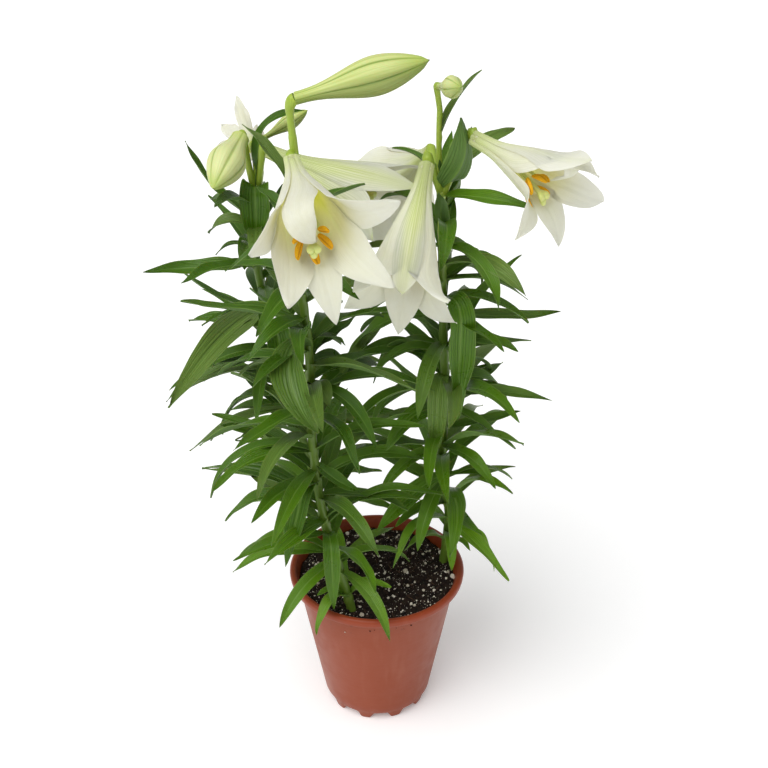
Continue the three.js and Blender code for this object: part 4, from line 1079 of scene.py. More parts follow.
class LILY_OT_soil(bpy.types.Operator):
    """Makes the soil with its loose crumbs, perlite grains and fibres"""

    bl_idname = "lily.soil"
    bl_label = "Soil"

    def execute(self, context):
        settings = context.scene.lily_soil
        crumb = settings.crumb_height / MM
        self.make_body(settings, crumb)
        self.make_crumbs(settings, crumb)
        self.make_perlite(settings, crumb)
        self.make_fibres(settings, crumb)
        return {"FINISHED"}

    def make_body(self, settings, crumb):
        """The body fills the pot: rings up its side, then inwards over its top, whose
        height is the sum of slow lumps and crumbs, eased down at its edge."""
        turn = np.arange(420) * 360 / 420
        low = [(1, 4.9), (38, 4.9), (43.4, 9.0), (50.2, 12.4)]
        low += [(wall_radius(height) - WALL_AND_GAP, height) for height in (40, 90, 130)]
        low += [(SOIL_EDGE - 0.5, SOIL_TOP - 4), (SOIL_EDGE, SOIL_TOP - 2)]
        low = np.array(low)
        inwards = np.linspace(SOIL_EDGE, 0.6, 96)[:, None]
        top = lathed(inwards, 0, turn)
        top[..., 2] = soil_height(top[..., 0], top[..., 1], crumb)
        top[..., 2] -= 1.2 * ramp((inwards - SOIL_EDGE + 2.5) / 2.5)
        body = Surface()
        body.tube(np.concatenate([lathed(low[:, :1], low[:, 1:], turn), top]))
        body.build("soil_body", soil_finish(settings), ["soil"], crease=80)

    def make_crumbs(self, settings, crumb):
        """Crumbs lie on the top, each sunk a little into it, and a few cling to the wall."""
        places = scattered(settings.crumbs, SOIL_EDGE - 1.5, 31)
        radii = mix(0.5, 2.0, vary(np.arange(settings.crumbs), 33) ** 3)
        heights = soil_height(places[:, 0], places[:, 1], crumb) + radii * 0.25
        crumbs = Surface("tone")
        tone = vary(np.arange(settings.crumbs), 34) ** 1.5 * 0.8
        add_grains(crumbs, np.column_stack([places, heights]), radii, 35, 0.35, 0.75, tone=tone)
        specks = np.array(WALL_SPECKS)
        on_wall = heading(specks[:, 0]) * (wall_radius(specks[:, 1]) + 0.25)[:, None]
        on_wall[:, 2] = specks[:, 1]
        add_grains(crumbs, on_wall, specks[:, 2], 36, 0.35, 0.8, tone=np.full(len(specks), 0.1))
        crumbs.build("soil_crumbs", crumb_finish(settings), crease=30)

    def make_perlite(self, settings, crumb):
        """Perlite lies on the top like the crumbs, and one fleck clings to the wall."""
        count = settings.perlite
        large = np.array(PERLITE_PLACES)
        places = np.vstack([scattered(count, SOIL_EDGE - 2, 41), large[:, :2]])
        small_radii = mix(0.3, 1.6, vary(np.arange(count), 43) ** 5)
        radii = np.concatenate([small_radii, large[:, 2]])
        heights = soil_height(places[:, 0], places[:, 1], crumb) + radii * 0.35
        tone = vary(np.arange(len(radii)), 44) ** 2
        perlite = Surface("tone")
        add_grains(perlite, np.column_stack([places, heights]), radii, 45, 0.22, 0.85, tone=tone)
        azimuth, height = -113.7, 129.7
        fleck = heading(azimuth) * (wall_radius(height) + 0.2) + (0, 0, height)
        add_grains(perlite, fleck[None], [0.9], 46, 0.2, 0.7, tone=np.array([0.6]))
        perlite.build("perlite_grains", perlite_finish(settings), crease=35)

    def make_fibres(self, settings, crumb):
        """Thin three-sided threads that bend on their way over the soil."""
        count, steps = settings.fibres, 8
        index = np.arange(count)
        start = scattered(count, SOIL_EDGE - 12, 51)
        length = mix(4, 15, vary(index, 52) ** 1.5)
        turn = vary(index, 53) * 360
        bend = mix(-80, 80, vary(index, 54))
        share = np.linspace(0, 1, steps)
        way = heading(turn[:, None] + bend[:, None] * share[None])[..., :2]
        flat = start[:, None] + np.cumsum(way, axis=1) * (length / steps)[:, None, None]
        height = soil_height(flat[..., 0], flat[..., 1], crumb) + 0.4
        height = height + vary(index, 55)[:, None] ** 2 * 3 * np.sin(share * np.pi)[None]
        path = np.concatenate([flat, height[..., None]], -1)
        across = np.stack([-way[..., 1], way[..., 0], 0 * way[..., 0]], -1)
        radius = mix(0.12, 0.3, vary(index, 56))[:, None, None] * (1 - 0.6 * share[None, :, None])
        spokes = [across * math.cos(a) + (0, 0, math.sin(a)) for a in np.radians([0, 120, 240])]
        rings = np.stack([path + spoke * radius for spoke in spokes], 2)
        fibres = Surface()
        place = np.arange(steps * 3).reshape(steps, 3)
        after = np.roll(place, -1, axis=1)
        quads = np.stack([place[:-1], place[1:], after[1:], after[:-1]], -1).reshape(-1, 4)
        ends = np.array([place[0], place[-1][::-1]])
        faces = (repeated(part, count, steps * 3) for part in (quads, ends))
        fibres.add(rings, *faces)
        fibres.build("soil_fibres", fibre_finish(settings), crease=80)


# Stems


def stem_point(name, heights):
    """Places on a stem's axis at given heights."""
    share = np.linspace(0, 1, 4001)
    curve = smooth_curve(STEMS[name], share)
    return smooth_curve(STEMS[name], np.interp(np.atleast_1d(heights), curve[:, 2], share))


def stalk_path(name):
    """Knots of a flower's or bud's stalk, from the stem to its end under the flower, and
    the stalk's radius at its foot and at its end."""
    stem, leaves, lift = STALKS[name]
    piece = FLOWERS.get(name) or BUDS[name]
    axis = heading(piece["azimuth"], piece["elevation"])
    end = np.array(piece["base"]) - axis * GAP
    knots = list(stem_point(stem, [leaves - 8, leaves]))
    first = STALK_RADIUS
    last = STALK_RADIUS + STALK_SWELL if name in FLOWERS else bud_radius(piece, 0.0) - 0.1
    if name == "small_right":
        knots.append(end - axis * 2.5 + (0, 0, -1))
        first, last = 2.4, 3.0
    elif name == "large":
        knots += [end + (-4.6, 0, -12), end + (-4.2, 0, -6), end + (-2.4, 0, -1.7)]
    elif name == "pale":
        knots += [end + (2, 8, -12), end - axis * 3]
        last = 4.5
    else:
        knots += [np.array(lift, float)] if lift else []
        knots.append(end - axis * 5)
    return [*knots, end], first, last


def stem_finish(settings):
    """Smooth yellow-green stem, darker below, with fine lengthwise lines and brown leaf
    scars."""
    finish = Finish(
        "stem", settings.stem_colour, Roughness=0.4, Subsurface_Weight=0.06,
        Subsurface_Scale=0.002,
    )
    tone = finish.group("mottle", finish.place(1.0, 1.0, 0.12), 130.0, 0.5)[0]
    finish.coat(settings.stem_dark_colour, tone, 0.6)
    height = finish.parts(finish.place())[2]
    finish.coat(linear(84, 116, 36), finish.spread(height, 0.55, 0.47, 0, 0.85))
    finish.coat(settings.scar_colour, finish.value("scar"))
    return finish.done(finish.noise(finish.place(1.0, 1.0, 0.03), 1500.0), 0.3, 0.8)


class LILY_OT_stems(bpy.types.Operator):
    """Makes the three stems, each with the stalks of its flowers and buds"""

    bl_idname = "lily.stems"
    bl_label = "Stems"

    def execute(self, context):
        material = stem_finish(context.scene.lily_leaves)
        for name in STEMS:
            surface = Surface("scar")
            self.add_stem(surface, name, LEAVES[name])
            for key, stalk in STALKS.items():
                if stalk[0] == name:
                    knots, first, last = stalk_path(key)
                    swell = ramp((np.linspace(0, 1, STALK_STEPS) - 0.6) / 0.4)
                    path = even_curve(knots, STALK_STEPS)
                    surface.tube(swept_rings(path, mix(first, last, swell), 18))
            surface.build(f"stem_{name}", material, [f"leafy_stem_{name}"])
        return {"FINISHED"}

    def add_stem(self, surface, name, rows):
        """A slim tapered tube that swells a little under the root of each leaf. One leaf
        has fallen from the right stem and has left its scar."""
        steps, sides = 300, 22
        path = even_curve(STEMS[name], steps)
        share = np.linspace(0, 1, steps)
        radii = np.repeat(mix(STEM_RADIUS_LOW, STEM_RADIUS_TOP, share)[:, None], sides, 1)
        radii *= 1 - 0.6 * ramp((share - 0.985) / 0.015)[:, None]
        if name == "right":
            radii *= mix(1, 0.68, ramp((path[:, 2:] - 545) / 50))
        spokes = spokes_along(path, sides)
        scar = np.zeros((steps, sides))
        for row in rows:
            near = np.exp(-(((path[:, 2] - row[0] + 1.5) / 2.6) ** 2))
            facing = np.clip(spokes @ heading(row[1]), 0, 1) ** 2
            radii += 0.55 * near[:, None] * facing
            if name == "right" and SCAR_HEIGHTS[0] < row[0] < SCAR_HEIGHTS[1]:
                under = np.exp(-(((path[:, 2] - row[0] + 5) / 3) ** 2))
                scar = np.maximum(scar, under[:, None] * facing)
        surface.tube(swept_rings(path, radii, sides), scar=scar)


# Leaves


def leaf_line(root, row):
    """Midline of a blade and its two side directions, in equal steps from the root to the
    tip. Each step goes along the heading at its middle."""
    _, azimuth, at_root, at_tip, length, _, sweep, _, _, *span = row
    begin, end = span[0] if span else (0, 1)
    share = np.arange(LEAF_STEPS + 1) / LEAF_STEPS

    def direction(at):
        slope = mix(at_root, at_tip, ramp((at - begin) / (end - begin)))
        return heading(azimuth + sweep * at, slope)

    steps = direction(share[:-1] + 0.5 / LEAF_STEPS) * length / LEAF_STEPS
    middle = np.vstack([root, root + np.cumsum(steps, axis=0)])
    across = heading(azimuth + sweep * share + 90)
    return middle, across, np.cross(direction(share), across)


def leaf_outline(share):
    """Half width as a share of its largest: narrow at the root, widest before the middle
    and drawn out to a point, by quarters of a sine wave to the power 0.8."""
    grown = np.clip(share / LEAF_WIDEST, 0, 1) * np.pi / 2
    past = np.clip((share - LEAF_WIDEST) / (1 - LEAF_WIDEST), 0, 1) * np.pi / 2
    rising, falling = 0.28 + 0.72 * np.sin(grown) ** 0.8, np.cos(past) ** 0.8
    return np.where(share < LEAF_WIDEST, rising, falling)


def leaf_surface(root, row, seed, settings):
    """Upper and lower face of a blade. The section is a shallow channel whose height goes
    with the distance from the midrib to the power 1.15, with a narrow groove along the
    midrib, ribs at equal steps across wide blades, a slow wave along the edges, and a roll
    near the root and a twist that grows to the tip. The lower face lies under it by the
    thickness, and deeper along the midrib."""
    width, roll, twist = row[5], row[7], row[8]
    steps, count = (40, 25) if width >= BROAD_LEAF else (30, 11)
    share = np.linspace(0.02, 0.998, steps)
    middle, across, up = (smooth_curve(part, share) for part in leaf_line(root, row))
    turn = np.radians(settings.twist * (twist * share + roll * ramp(share / 0.3)))
    up, across = turned(up, across, turn[:, None])
    half = (leaf_outline(share) * width / 2)[:, None]
    share, column = share[:, None], columns_across(count)[None]
    away = np.abs(column) * half
    lift = half * 2 * settings.channel * np.abs(column) ** 1.15
    lift = lift - 0.3 * np.exp(-((away / 0.9) ** 2)) * (1 - share)
    beat = mix(1.2, 2.6, vary(seed, 12))
    phase = np.where(column < 0, vary(seed, 13), vary(seed, 14)) * 2 * np.pi
    wave = np.sin(2 * np.pi * beat * share + phase) * column**2 * ramp(share / 0.25)
    lift = lift + settings.edge_wave / MM * wave * min(1.6, width / 14)
    if width >= BROAD_LEAF:
        ribs = np.cos(away * 2 * np.pi / 3.7) * ramp(away / 2.0)
        lift = lift + 0.42 * ribs * np.sin(share * np.pi)
    fold = half * column * (1 - 0.5 * settings.channel * np.abs(column))
    upper = middle[:, None] - across[:, None] * fold[..., None] + up[:, None] * lift[..., None]
    depth = settings.thickness / MM * (1 - 0.45 * np.abs(column) ** 3)
    depth = depth + 0.75 * np.exp(-((away / 1.2) ** 2)) * (1 - share) ** 0.7
    places = np.stack(np.broadcast_arrays(column / 2 + 0.5, share), -1)
    return upper, upper - up[:, None] * depth[..., None], places


def leaf_finish(settings):
    """Glossy green blade: paler midrib, edges and underside, lengthwise veins, and a tone
    of its own for each leaf."""
    finish = Finish(
        "leaf", settings.deep_colour, Specular_IOR_Level=0.34, Subsurface_Weight=0.05,
        Subsurface_Scale=0.001,
    )
    place = finish.surface()
    across, along, _ = finish.parts(place)
    away = finish.times(finish.sum("ABSOLUTE", finish.sum("SUBTRACT", across, 0.5)), 2.0)
    young, under, tone = (finish.value(name) for name in ("young", "under", "tone"))
    finish.coat(settings.fresh_colour, young)
    cloud = finish.group("mottle", finish.place(), 26.0, 0.4)[0]
    finish.tone((1.45, 1.35, 1.0), cloud, 0.3)
    finish.tone((0.6, 0.68, 0.66), finish.spread(tone, 0.0, 1.0, 0.0, 0.8, "LINEAR"))
    finish.coat(linear(150, 170, 96), finish.spread(tone, 0.62, 1.0, 0.0, 0.3))
    veins = finish.group("lengthwise_veins", place, 11.0, 0.02)
    finish.tone((0.5, 0.6, 0.45), veins["Vein"], 0.6)
    finish.tone((1.5, 1.4, 1.25), veins["Fibre"], 0.45)
    finish.coat(settings.under_colour, under, 0.6)
    rib = finish.spread(away, 0.1, 0.02), finish.spread(along, 1.0, 0.1, 0.2, 0.7)
    edge = finish.times(finish.spread(away, 0.88, 0.99), 0.6)
    root = finish.spread(along, 0.1, 0.0, 0.0, 0.55)
    pale = finish.sum("MAXIMUM", finish.times(*rib), edge)
    finish.coat(settings.rib_colour, finish.sum("MAXIMUM", pale, root))
    gloss = finish.spread(under, 0.0, 1.0, 0.26, 0.5)
    gloss = finish.sum("ADD", gloss, finish.times(cloud, 0.1))
    relief = finish.sum("SUBTRACT", finish.times(veins["Fibre"], 0.25), veins["Vein"])
    return finish.done(relief, 0.3, roughness=gloss)


def columns_across(count):
    """Columns from -1 to 1, closer together at the midrib and at the edges."""
    even = np.linspace(-1, 1, count)
    return 0.75 * even + 0.25 * even**3


class LILY_OT_leaves(bpy.types.Operator):
    """Makes the leaves of each stem as thin closed blades"""

    bl_idname = "lily.leaves"
    bl_label = "Leaves"

    def execute(self, context):
        settings = context.scene.lily_leaves
        material = leaf_finish(settings)
        for order, (name, rows) in enumerate(LEAVES.items()):
            surface = Surface("tone", "young", "under")
            for index, row in enumerate(rows):
                seed = index + order * 100
                root = stem_point(name, row[0])[0]
                upper, lower, places = leaf_surface(root, row, seed, settings)
                young = 0.1 + 0.2 * (name == "right") + 0.75 * ramp((250 - row[0]) / 90)
                young = young + 0.3 * vary(seed, 22) * ramp((430 - row[0]) / 160)
                values = dict(tone=(vary(seed, 21),) * 2, young=(young,) * 2, under=(0.0, 1.0))
                surface.sheet(upper, lower, places, **values)
            surface.build(f"leaves_{name}", material, [f"leafy_stem_{name}"])
        return {"FINISHED"}


# Flowers


def tepal_angle(flower, index, share):
    """Angle in degrees between a tepal and the trumpet's axis: the slim tube, the funnel
    and the flared or folded end, each eased into the next."""
    start, length = flower["folds"].get(index, (0.54, 0.46))
    tube_end, widest, funnel_end = flower["funnel"]
    funnel = mix(TUBE_ANGLE, widest, ramp((share - tube_end) / (funnel_end - tube_end)))
    return mix(funnel, flower["flare"][index], ramp((share - start) / length))


def tepal_rows(flower, index, share, soft):
    """Rows of a tepal's middle surface: its midline is the sum of short steps at the angle
    to the axis, and its half width is an angle of the tube held under the outline. Soft
    rounds off the corner where the outline takes over, in millimetres."""
    inner = index < 3
    turn = flower["roll"] + index % 3 * 120 + (0 if inner else 60)
    turn = turn + flower["turns"][index] * ramp((share - 0.35) / 0.4)
    step = share[1] - share[0]
    angle = np.radians(tepal_angle(flower, index, share))
    on_way = np.radians(tepal_angle(flower, index, share[:-1] + step / 2))
    pace = flower["length"] * step * flower["reaches"][index]
    start = TUBE_RADIUS + (0 if inner else WHORL_STEP)
    radius = start + np.concatenate([[0], np.cumsum(np.sin(on_way))]) * pace
    height = np.concatenate([[0], np.cumsum(np.cos(on_way))]) * pace
    out, side = heading(turn), heading(turn + 90)
    up = np.array([0.0, 0.0, 1.0])
    middle = out * radius[:, None] + up * height[:, None]
    outward = out * np.cos(angle)[:, None] - up * np.sin(angle)[:, None]
    spread_half = radius * (0.68 if inner else 0.6)
    largest = (INNER_HALF_WIDTH if inner else OUTER_HALF_WIDTH) * flower["broad"][index]
    opened = np.clip((share - 0.56) / 0.44, 0, 1)
    outline = largest * np.cos(opened * np.pi / 2) ** 0.8
    half = np.minimum(spread_half, outline)
    half = np.maximum(half - soft * np.log1p(np.exp(-np.abs(spread_half - outline) / soft)), 0.25)
    bow = radius * (1 + 1.2 * ramp((share - 0.6) / 0.3))
    return dict(middle=middle, outward=outward, side=side, half=half, bow=bow)


def tepal_points(rows, columns, lift):
    """Points across a tepal: an arc of the bow's radius, raised along the outside by the
    lift, which is a number or a grid."""
    half, bow = rows["half"][:, None], rows["bow"][:, None]
    arc = columns[None] * half / bow
    reach = bow + lift
    sideways, outwards = np.sin(arc) * reach, np.cos(arc) * reach - bow
    return (
        rows["middle"][:, None]
        + rows["side"][:, None] * sideways[..., None]
        + rows["outward"][:, None] * outwards[..., None]
    )


def add_tepal(surface, flower, index, seed, settings):
    """Adds a tepal as a closed sheet. Its edges are ruffled by a sine wave that grows
    towards the tip, a rib runs along its outside and a furrow along its inside, and it
    thins towards its edges and tip."""
    share = np.linspace(0, 0.999, 64)
    columns = columns_across(23)
    rows = tepal_rows(flower, index, share, 1.4)
    inner = index < 3
    along, column = share[:, None], columns[None]
    away = np.abs(column) * rows["half"][:, None]
    grown = ramp((along - 0.5) / 0.3)
    phase = np.where(column < 0, vary(seed, 61), vary(seed, 62)) * 2 * np.pi
    beat = mix(2.2, 3.4, vary(seed, 63))
    ruffle = np.sin(2 * np.pi * beat * along + phase) * np.abs(column) ** 3 * grown
    lift = settings.ruffle / MM * (1.0 if inner else 0.65) * ruffle
    roll = np.sin(2 * np.pi * (0.9 * along + vary(seed, 64)))
    lift = lift + 0.9 * roll * np.abs(column) ** 1.5 * grown
    pleats = np.cos(away * 2 * np.pi / 5.2) * ramp(away / 3.0)
    lift = lift + 0.3 * pleats * ramp((along - 0.3) / 0.3) * (1.1 - along)
    if not inner:
        lift = lift - 0.8 * np.abs(column) ** 5 * (1 - ramp((along - 0.3) / 0.25))
    rib = np.exp(-((away / (2.6 if inner else 1.9)) ** 2)) * (1 - 0.7 * along)
    furrow = np.exp(-((away / 1.7) ** 2)) * (1 - 0.5 * along) * ramp((along - 0.3) / 0.2)
    flanks = np.exp(-(((away - 3.6) / 1.2) ** 2)) * ramp(along / 0.3) * (1 - along)
    thick = settings.thickness / MM * (1 - 0.55 * np.abs(column) ** 3) * (1 - 0.45 * along)
    back = lift + thick / 2 + 0.55 * rib - (0.35 * flanks if inner else 0)
    outer = tepal_points(rows, columns, back)
    within = tepal_points(rows, columns, lift - thick / 2 + 0.7 * furrow)
    green = flower["green"] * flower["bands"][index]
    base = np.exp(-((along / (0.13 + 0.12 * green)) ** 2))
    band = np.exp(-((away / (1.8 + 4.0 * green)) ** 2)) * mix(0.85, 0.4, along)
    tip = ramp((along - 0.93) / 0.07) * 0.7
    shown = np.clip(base + green * band * (0.5 if inner else 1.0) + tip * green, 0, 1)
    line = np.clip(base * 0.3 + 0.9 * green * np.exp(-along / 0.4), 0, 1)
    throat = (1 - ramp((along - 0.16) / 0.72)) * (1 - 0.2 * np.abs(column))
    midline = 0.3 * np.exp(-((away / 2.2) ** 2)) * ramp((0.9 - along) / 0.5)
    places = np.stack(np.broadcast_arrays(column / 2 + 0.5, along), -1)
    surface.sheet(
        placed(outer, flower), placed(within, flower), places,
        green=(shown, midline), line=(line, 0), throat=(0, throat), inside=(0, 1),
    )


def receptacle_rings():
    """Rings of the short green cone that the tepals grow from."""
    profile = np.array([
        (0.6, -0.2), (3.7, -0.2), (4.0, 0.1), (4.4, 0.9), (4.9, 2.0), (5.4, 3.2), (5.75, 4.4),
        (5.85, 5.4), (5.6, 6.2), (3.5, 6.6), (0.6, RECEPTACLE),
    ])
    return lathed(profile[:, :1], profile[:, 1:], np.arange(30) * 12)


def petal_finish(settings):
    """Satin white tepal: cream and yellow-green towards the throat, where a painted glow,
    an emission, stands in for the light that the thin tepals let through, green at the base
    and along the midribs, with fine lengthwise veins."""
    finish = Finish(
        "tepal", settings.white_colour, Specular_IOR_Level=0.4, Emission_Strength=settings.glow,
        Subsurface_Weight=0.5, Subsurface_Scale=0.004, Subsurface_Radius=(1.0, 0.95, 0.8),
    )
    names = ("green", "line", "throat", "inside")
    green, line, throat, inside = (finish.value(name) for name in names)
    veins = finish.group("lengthwise_veins", finish.surface(), 13.0, 0.03)
    vein, fibre = veins["Vein"], veins["Fibre"]
    cloud = finish.group("mottle", finish.place(), 32.0, 0.25)[0]
    finish.coat(settings.cream_colour, cloud, 0.2)
    finish.coat(settings.cream_colour, inside, finish.spread(throat, 0.0, 0.5, 0.06, 1.0))
    finish.coat(settings.throat_colour, inside, finish.spread(throat, 0.5, 0.97))
    finish.coat(settings.green_colour, green, finish.spread(fibre, 0.0, 1.0, 0.55, 1.0))
    marks = finish.sum("MAXIMUM", vein, finish.times(fibre, 0.6))
    finish.coat(settings.deep_green_colour, line, marks)
    finish.tone((0.86, 0.87, 0.84), fibre, 0.12)
    # Painted light: the inner face glows in its own colour towards the throat, in place of light
    # let through the tepals.
    painted_glow_mask = finish.times(inside, finish.spread(throat, 0.1, 0.9))
    finish.feed(finish.shader["Emission Color"], finish.mix(painted_glow_mask, (0, 0, 0), finish.colour))
    relief = finish.sum("ADD", finish.times(fibre, 0.5), finish.times(vein, -0.5))
    satin = finish.spread(cloud, 0.0, 1.0, 0.42, 0.55)
    return finish.done(relief, 0.14, 0.7, roughness=satin)


class LILY_OT_flowers(bpy.types.Operator):
    """Makes the six trumpets, each of three inner and three outer tepals"""

    bl_idname = "lily.flowers"
    bl_label = "Flowers"

    def execute(self, context):
        settings = context.scene.lily_flowers
        material = petal_finish(settings)
        for order, (name, flower) in enumerate(FLOWERS.items()):
            surface = Surface("green", "line", "throat", "inside")
            surface.tube(placed(receptacle_rings(), flower), green=0.35, line=0.05)
            for index in range(6):
                add_tepal(surface, flower, index, order * 10 + index, settings)
            surface.build(f"tepals_{name}", material, [f"flower_{name}"], crease=60)
        return {"FINISHED"}


# Stamens and pistil


def anther_height(flower):
    """Least height of the anthers' middles over the flower's base."""
    return flower["length"] * STAMEN_REACH * flower["depth"]


def bent(points, flower):
    """Points of the stamens and the pistil, placed, and let down or aside with the square
    of their height in the trumpet."""
    end = anther_height(flower) + STYLE_PAST_ANTHERS
    share = np.clip(points[..., 2:] / end, 0, 1.2)
    return placed(points, flower) + share**2 * np.array(flower["bend"])


def add_stamen(surface, flower, index):
    """A filament along a smooth curve that leans outwards, and an oblong anther across its
    end with a groove along each flank and the inside."""
    turn = flower["roll"] + index * 360 / STAMENS
    out, side = heading(turn), heading(turn + 90)
    reach = anther_height(flower) + 6 * vary(index, 3)
    aside = ANTHER_LEAN * flower["gather"]
    way = [(RECEPTACLE + GAP + 2, 0.1), (reach * 0.3, 0.2), (reach * 0.6, 0.4)]
    way += [(reach - 7, 0.8), (reach - 2, 0.97)]
    path = even_curve([out * lean * aside + (0, 0, height) for height, lean in way], 26)
    rings = swept_rings(path, mix(1.0, 0.55, np.linspace(0, 1, 26)), 10)
    surface.tube(bent(rings, flower))
    share = np.linspace(0, 1, 24)
    lean = out * flower["splay"] + np.array([0, 0, 1.0])
    lean = unit(lean + side * 0.35 * (2 * vary(index, 71) - 1))
    middle = out * aside * 1.02 + np.array([0, 0, reach - 0.5])
    bow = np.sin(share * np.pi)[:, None] * out * 1.2
    line = middle + lean * ((share - 0.5) * ANTHER_LENGTH)[:, None] + bow
    turn = np.arange(20) / 20 * 2 * np.pi
    groove = np.exp(-((np.cos(turn) * 3.2) ** 2))
    section = 1 + 0.2 * np.cos(2 * turn) - 0.26 * groove
    full = np.sin(np.clip(share * 0.94 + 0.03, 0, 1) * np.pi) ** 0.4 * 2.45
    across = side * np.cos(turn)[:, None] * 1.15
    across = across + np.cross(lean, side) * np.sin(turn)[:, None] * 0.95
    rings = line[:, None] + across[None] * (full[:, None] * section[None])[..., None]
    surface.tube(bent(rings, flower), anther=1.0, groove=groove)


def add_pistil(surface, flower):
    """A slim style that swells into a stigma of three rounded lobes with three furrows
    over its end."""
    end = anther_height(flower) + STYLE_PAST_ANTHERS
    start = RECEPTACLE + GAP
    turn = np.arange(36) * 10.0
    lobes = np.cos(np.radians(turn) * 3)
    profile = np.array([
        (0.5, start, 0), (2.2, start, 0), (2.4, start + 3, 0), (2.0, start + 9, 0),
        (1.35, start + 16, 0), (1.4, mix(start, end, 0.5), 0), (1.6, end - 13, 0.02),
        (2.2, end - 9, 0.08), (3.5, end - 6, 0.16), (4.7, end - 3.6, 0.2), (5.1, end - 1.9, 0.22),
        (4.9, end - 0.5, 0.24), (4.0, end + 0.4, 0.26), (2.7, end + 0.6, 0.24),
        (1.4, end + 0.2, 0.15), (0.3, end - 0.2, 0),
    ])
    radii, heights, lobed = (profile[:, k:k + 1] for k in range(3))
    dip = np.maximum(-lobes, 0)[None] * ramp((heights - end + 4) / 4) * 1.1
    rings = lathed(radii * (1 + lobed * lobes[None]), heights - dip, turn)
    surface.tube(bent(rings, flower), stigma=ramp((heights - end + 9) / 6))


def stamen_finish(settings):
    """Powdery orange anthers, darker in their grooves, on pale green filaments, and a pale
    green stigma with a moist sheen."""
    finish = Finish(
        "stamens_and_pistil", settings.filament_colour, Specular_IOR_Level=0.35,
        Subsurface_Weight=0.1, Subsurface_Scale=0.001,
    )
    anther, groove, stigma = (finish.value(name) for name in ("anther", "groove", "stigma"))
    grain = finish.noise(finish.place(), 1700.0, 3.0)
    bright = finish.spread(grain, 0.35, 0.7)
    pollen = finish.mix(bright, settings.anther_colour, linear(250, 196, 40))
    pollen = finish.mix(finish.times(groove, 0.75), pollen, settings.groove_colour)
    finish.coat(settings.stigma_colour, stigma)
    finish.coat(pollen, anther)
    rough = finish.spread(anther, 0.0, 1.0, 0.45, 0.9)
    rough = finish.sum("SUBTRACT", rough, finish.times(stigma, 0.12))
    powder = finish.times(grain, finish.spread(anther, 0.0, 1.0, 0.15, 1.0))
    return finish.done(powder, 0.35, roughness=rough)


class LILY_OT_stamens(bpy.types.Operator):
    """Makes the six stamens and the pistil of each flower"""

    bl_idname = "lily.stamens"
    bl_label = "Stamens and pistils"

    def execute(self, context):
        material = stamen_finish(context.scene.lily_stamens)
        for name, flower in FLOWERS.items():
            surface = Surface("anther", "groove", "stigma")
            add_pistil(surface, flower)
            for index in range(STAMENS):
                add_stamen(surface, flower, index)
            node = f"stamens_and_pistil_{name}"
            surface.build(f"fine_{node}", material, [node], crease=60)
        return {"FINISHED"}


# Buds


def bud_radius(bud, share):
    """Radius along a bud: eased from the foot to the widest place, then a falling power."""
    widest = bud["widest"]
    growing = bud["radius"] * mix(bud["foot"], 1, ramp(share / widest) ** 1.4)
    past = np.clip((share - widest) / (1 - widest), 0, 1)
    closing = bud["radius"] * mix(1, 0.1, past**1.8)
    return np.where(share < widest, growing, closing)


def bud_rings(bud, rib_depth):
    """Rings of a bud. Round the ring the radius follows the cosine of three turns, taken
    without its sign, so that six crests are broad and the lines between them narrow. Also
    gives the share of the length, the height of the crests and the turn for each ring and
    point."""
    end = 1 - 0.07 * (1 - np.linspace(0.1, 1, 12)) ** 1.8
    share = np.concatenate([np.linspace(0, 0.93, 62), end])[:, None]
    turn = np.arange(96) * 360 / 96
    wave = np.abs(np.cos(np.radians(turn) * 3)) ** 0.5
    wave = wave * (0.93 + 0.07 * np.cos(np.radians(turn) + 0.8))
    close = ramp((1 - share) / 0.06) ** 0.5
    radius = np.maximum(bud_radius(bud, share) * mix(0.12, 1.0, close), 0.2)
    depth = rib_depth * (0.35 + 0.65 * ramp(share / 0.3)) * ramp((1.02 - share) / 0.12)
    ribbed = radius * (1 + depth * (2 * wave[None] - 1))
    return lathed(ribbed, share * bud["length"], turn), share, wave, np.radians(turn)


def bud_finish(settings):
    """Satin bud: crests paler than the lines between them, greener at the foot and tip,
    and painted shade on the side that hangs down, which has the round_x of 1."""
    finish = Finish(
        "bud", settings.valley_colour, Specular_IOR_Level=0.45, Subsurface_Weight=0.15,
        Subsurface_Scale=0.002,
    )
    crest, along, pale, tip = (finish.value(name) for name in ("crest", "along", "pale", "tip"))
    round_x, round_y = finish.value("round_x"), finish.value("round_y")
    cloud = finish.group("mottle", finish.place(), 60.0, 0.4)[0]
    around = finish.add("CombineXYZ", {0: round_x, 1: round_y, 2: along}).outputs[0]
    streak = finish.noise(finish.stretched(around, (9.0, 9.0, 1.6)), 1.0, 3.0)
    streak = finish.spread(streak, 0.35, 0.68)
    finish.coat(settings.crest_colour, finish.spread(crest, 0.2, 0.6))
    finish.coat(settings.streak_colour, streak, 0.55)
    finish.coat(settings.pale_colour, pale, finish.spread(crest, 0.2, 0.8, 0.35, 0.9))
    foot = finish.spread(along, 0.3, 0.0, 0.0, 0.45)
    top = finish.spread(along, 0.72, 1.0, 0.0, 0.6)
    finish.coat(linear(164, 190, 62), finish.sum("MAXIMUM", foot, top))
    finish.tone((0.88, 0.92, 0.7), cloud, 0.2)
    # Painted shade: the side that hangs down is darkened as if the light fell from above; a pale
    # bud gets less of it.
    lower = finish.spread(round_x, -0.7, 0.35)
    lower = finish.times(lower, finish.sum("SUBTRACT", 1.0, pale))
    finish.tone((0.34, 0.4, 0.2), lower, 0.9)
    finish.coat(settings.tip_colour, tip)
    return finish.done(streak, 0.2, 0.6, roughness=finish.spread(cloud, 0.0, 1.0, 0.38, 0.5))


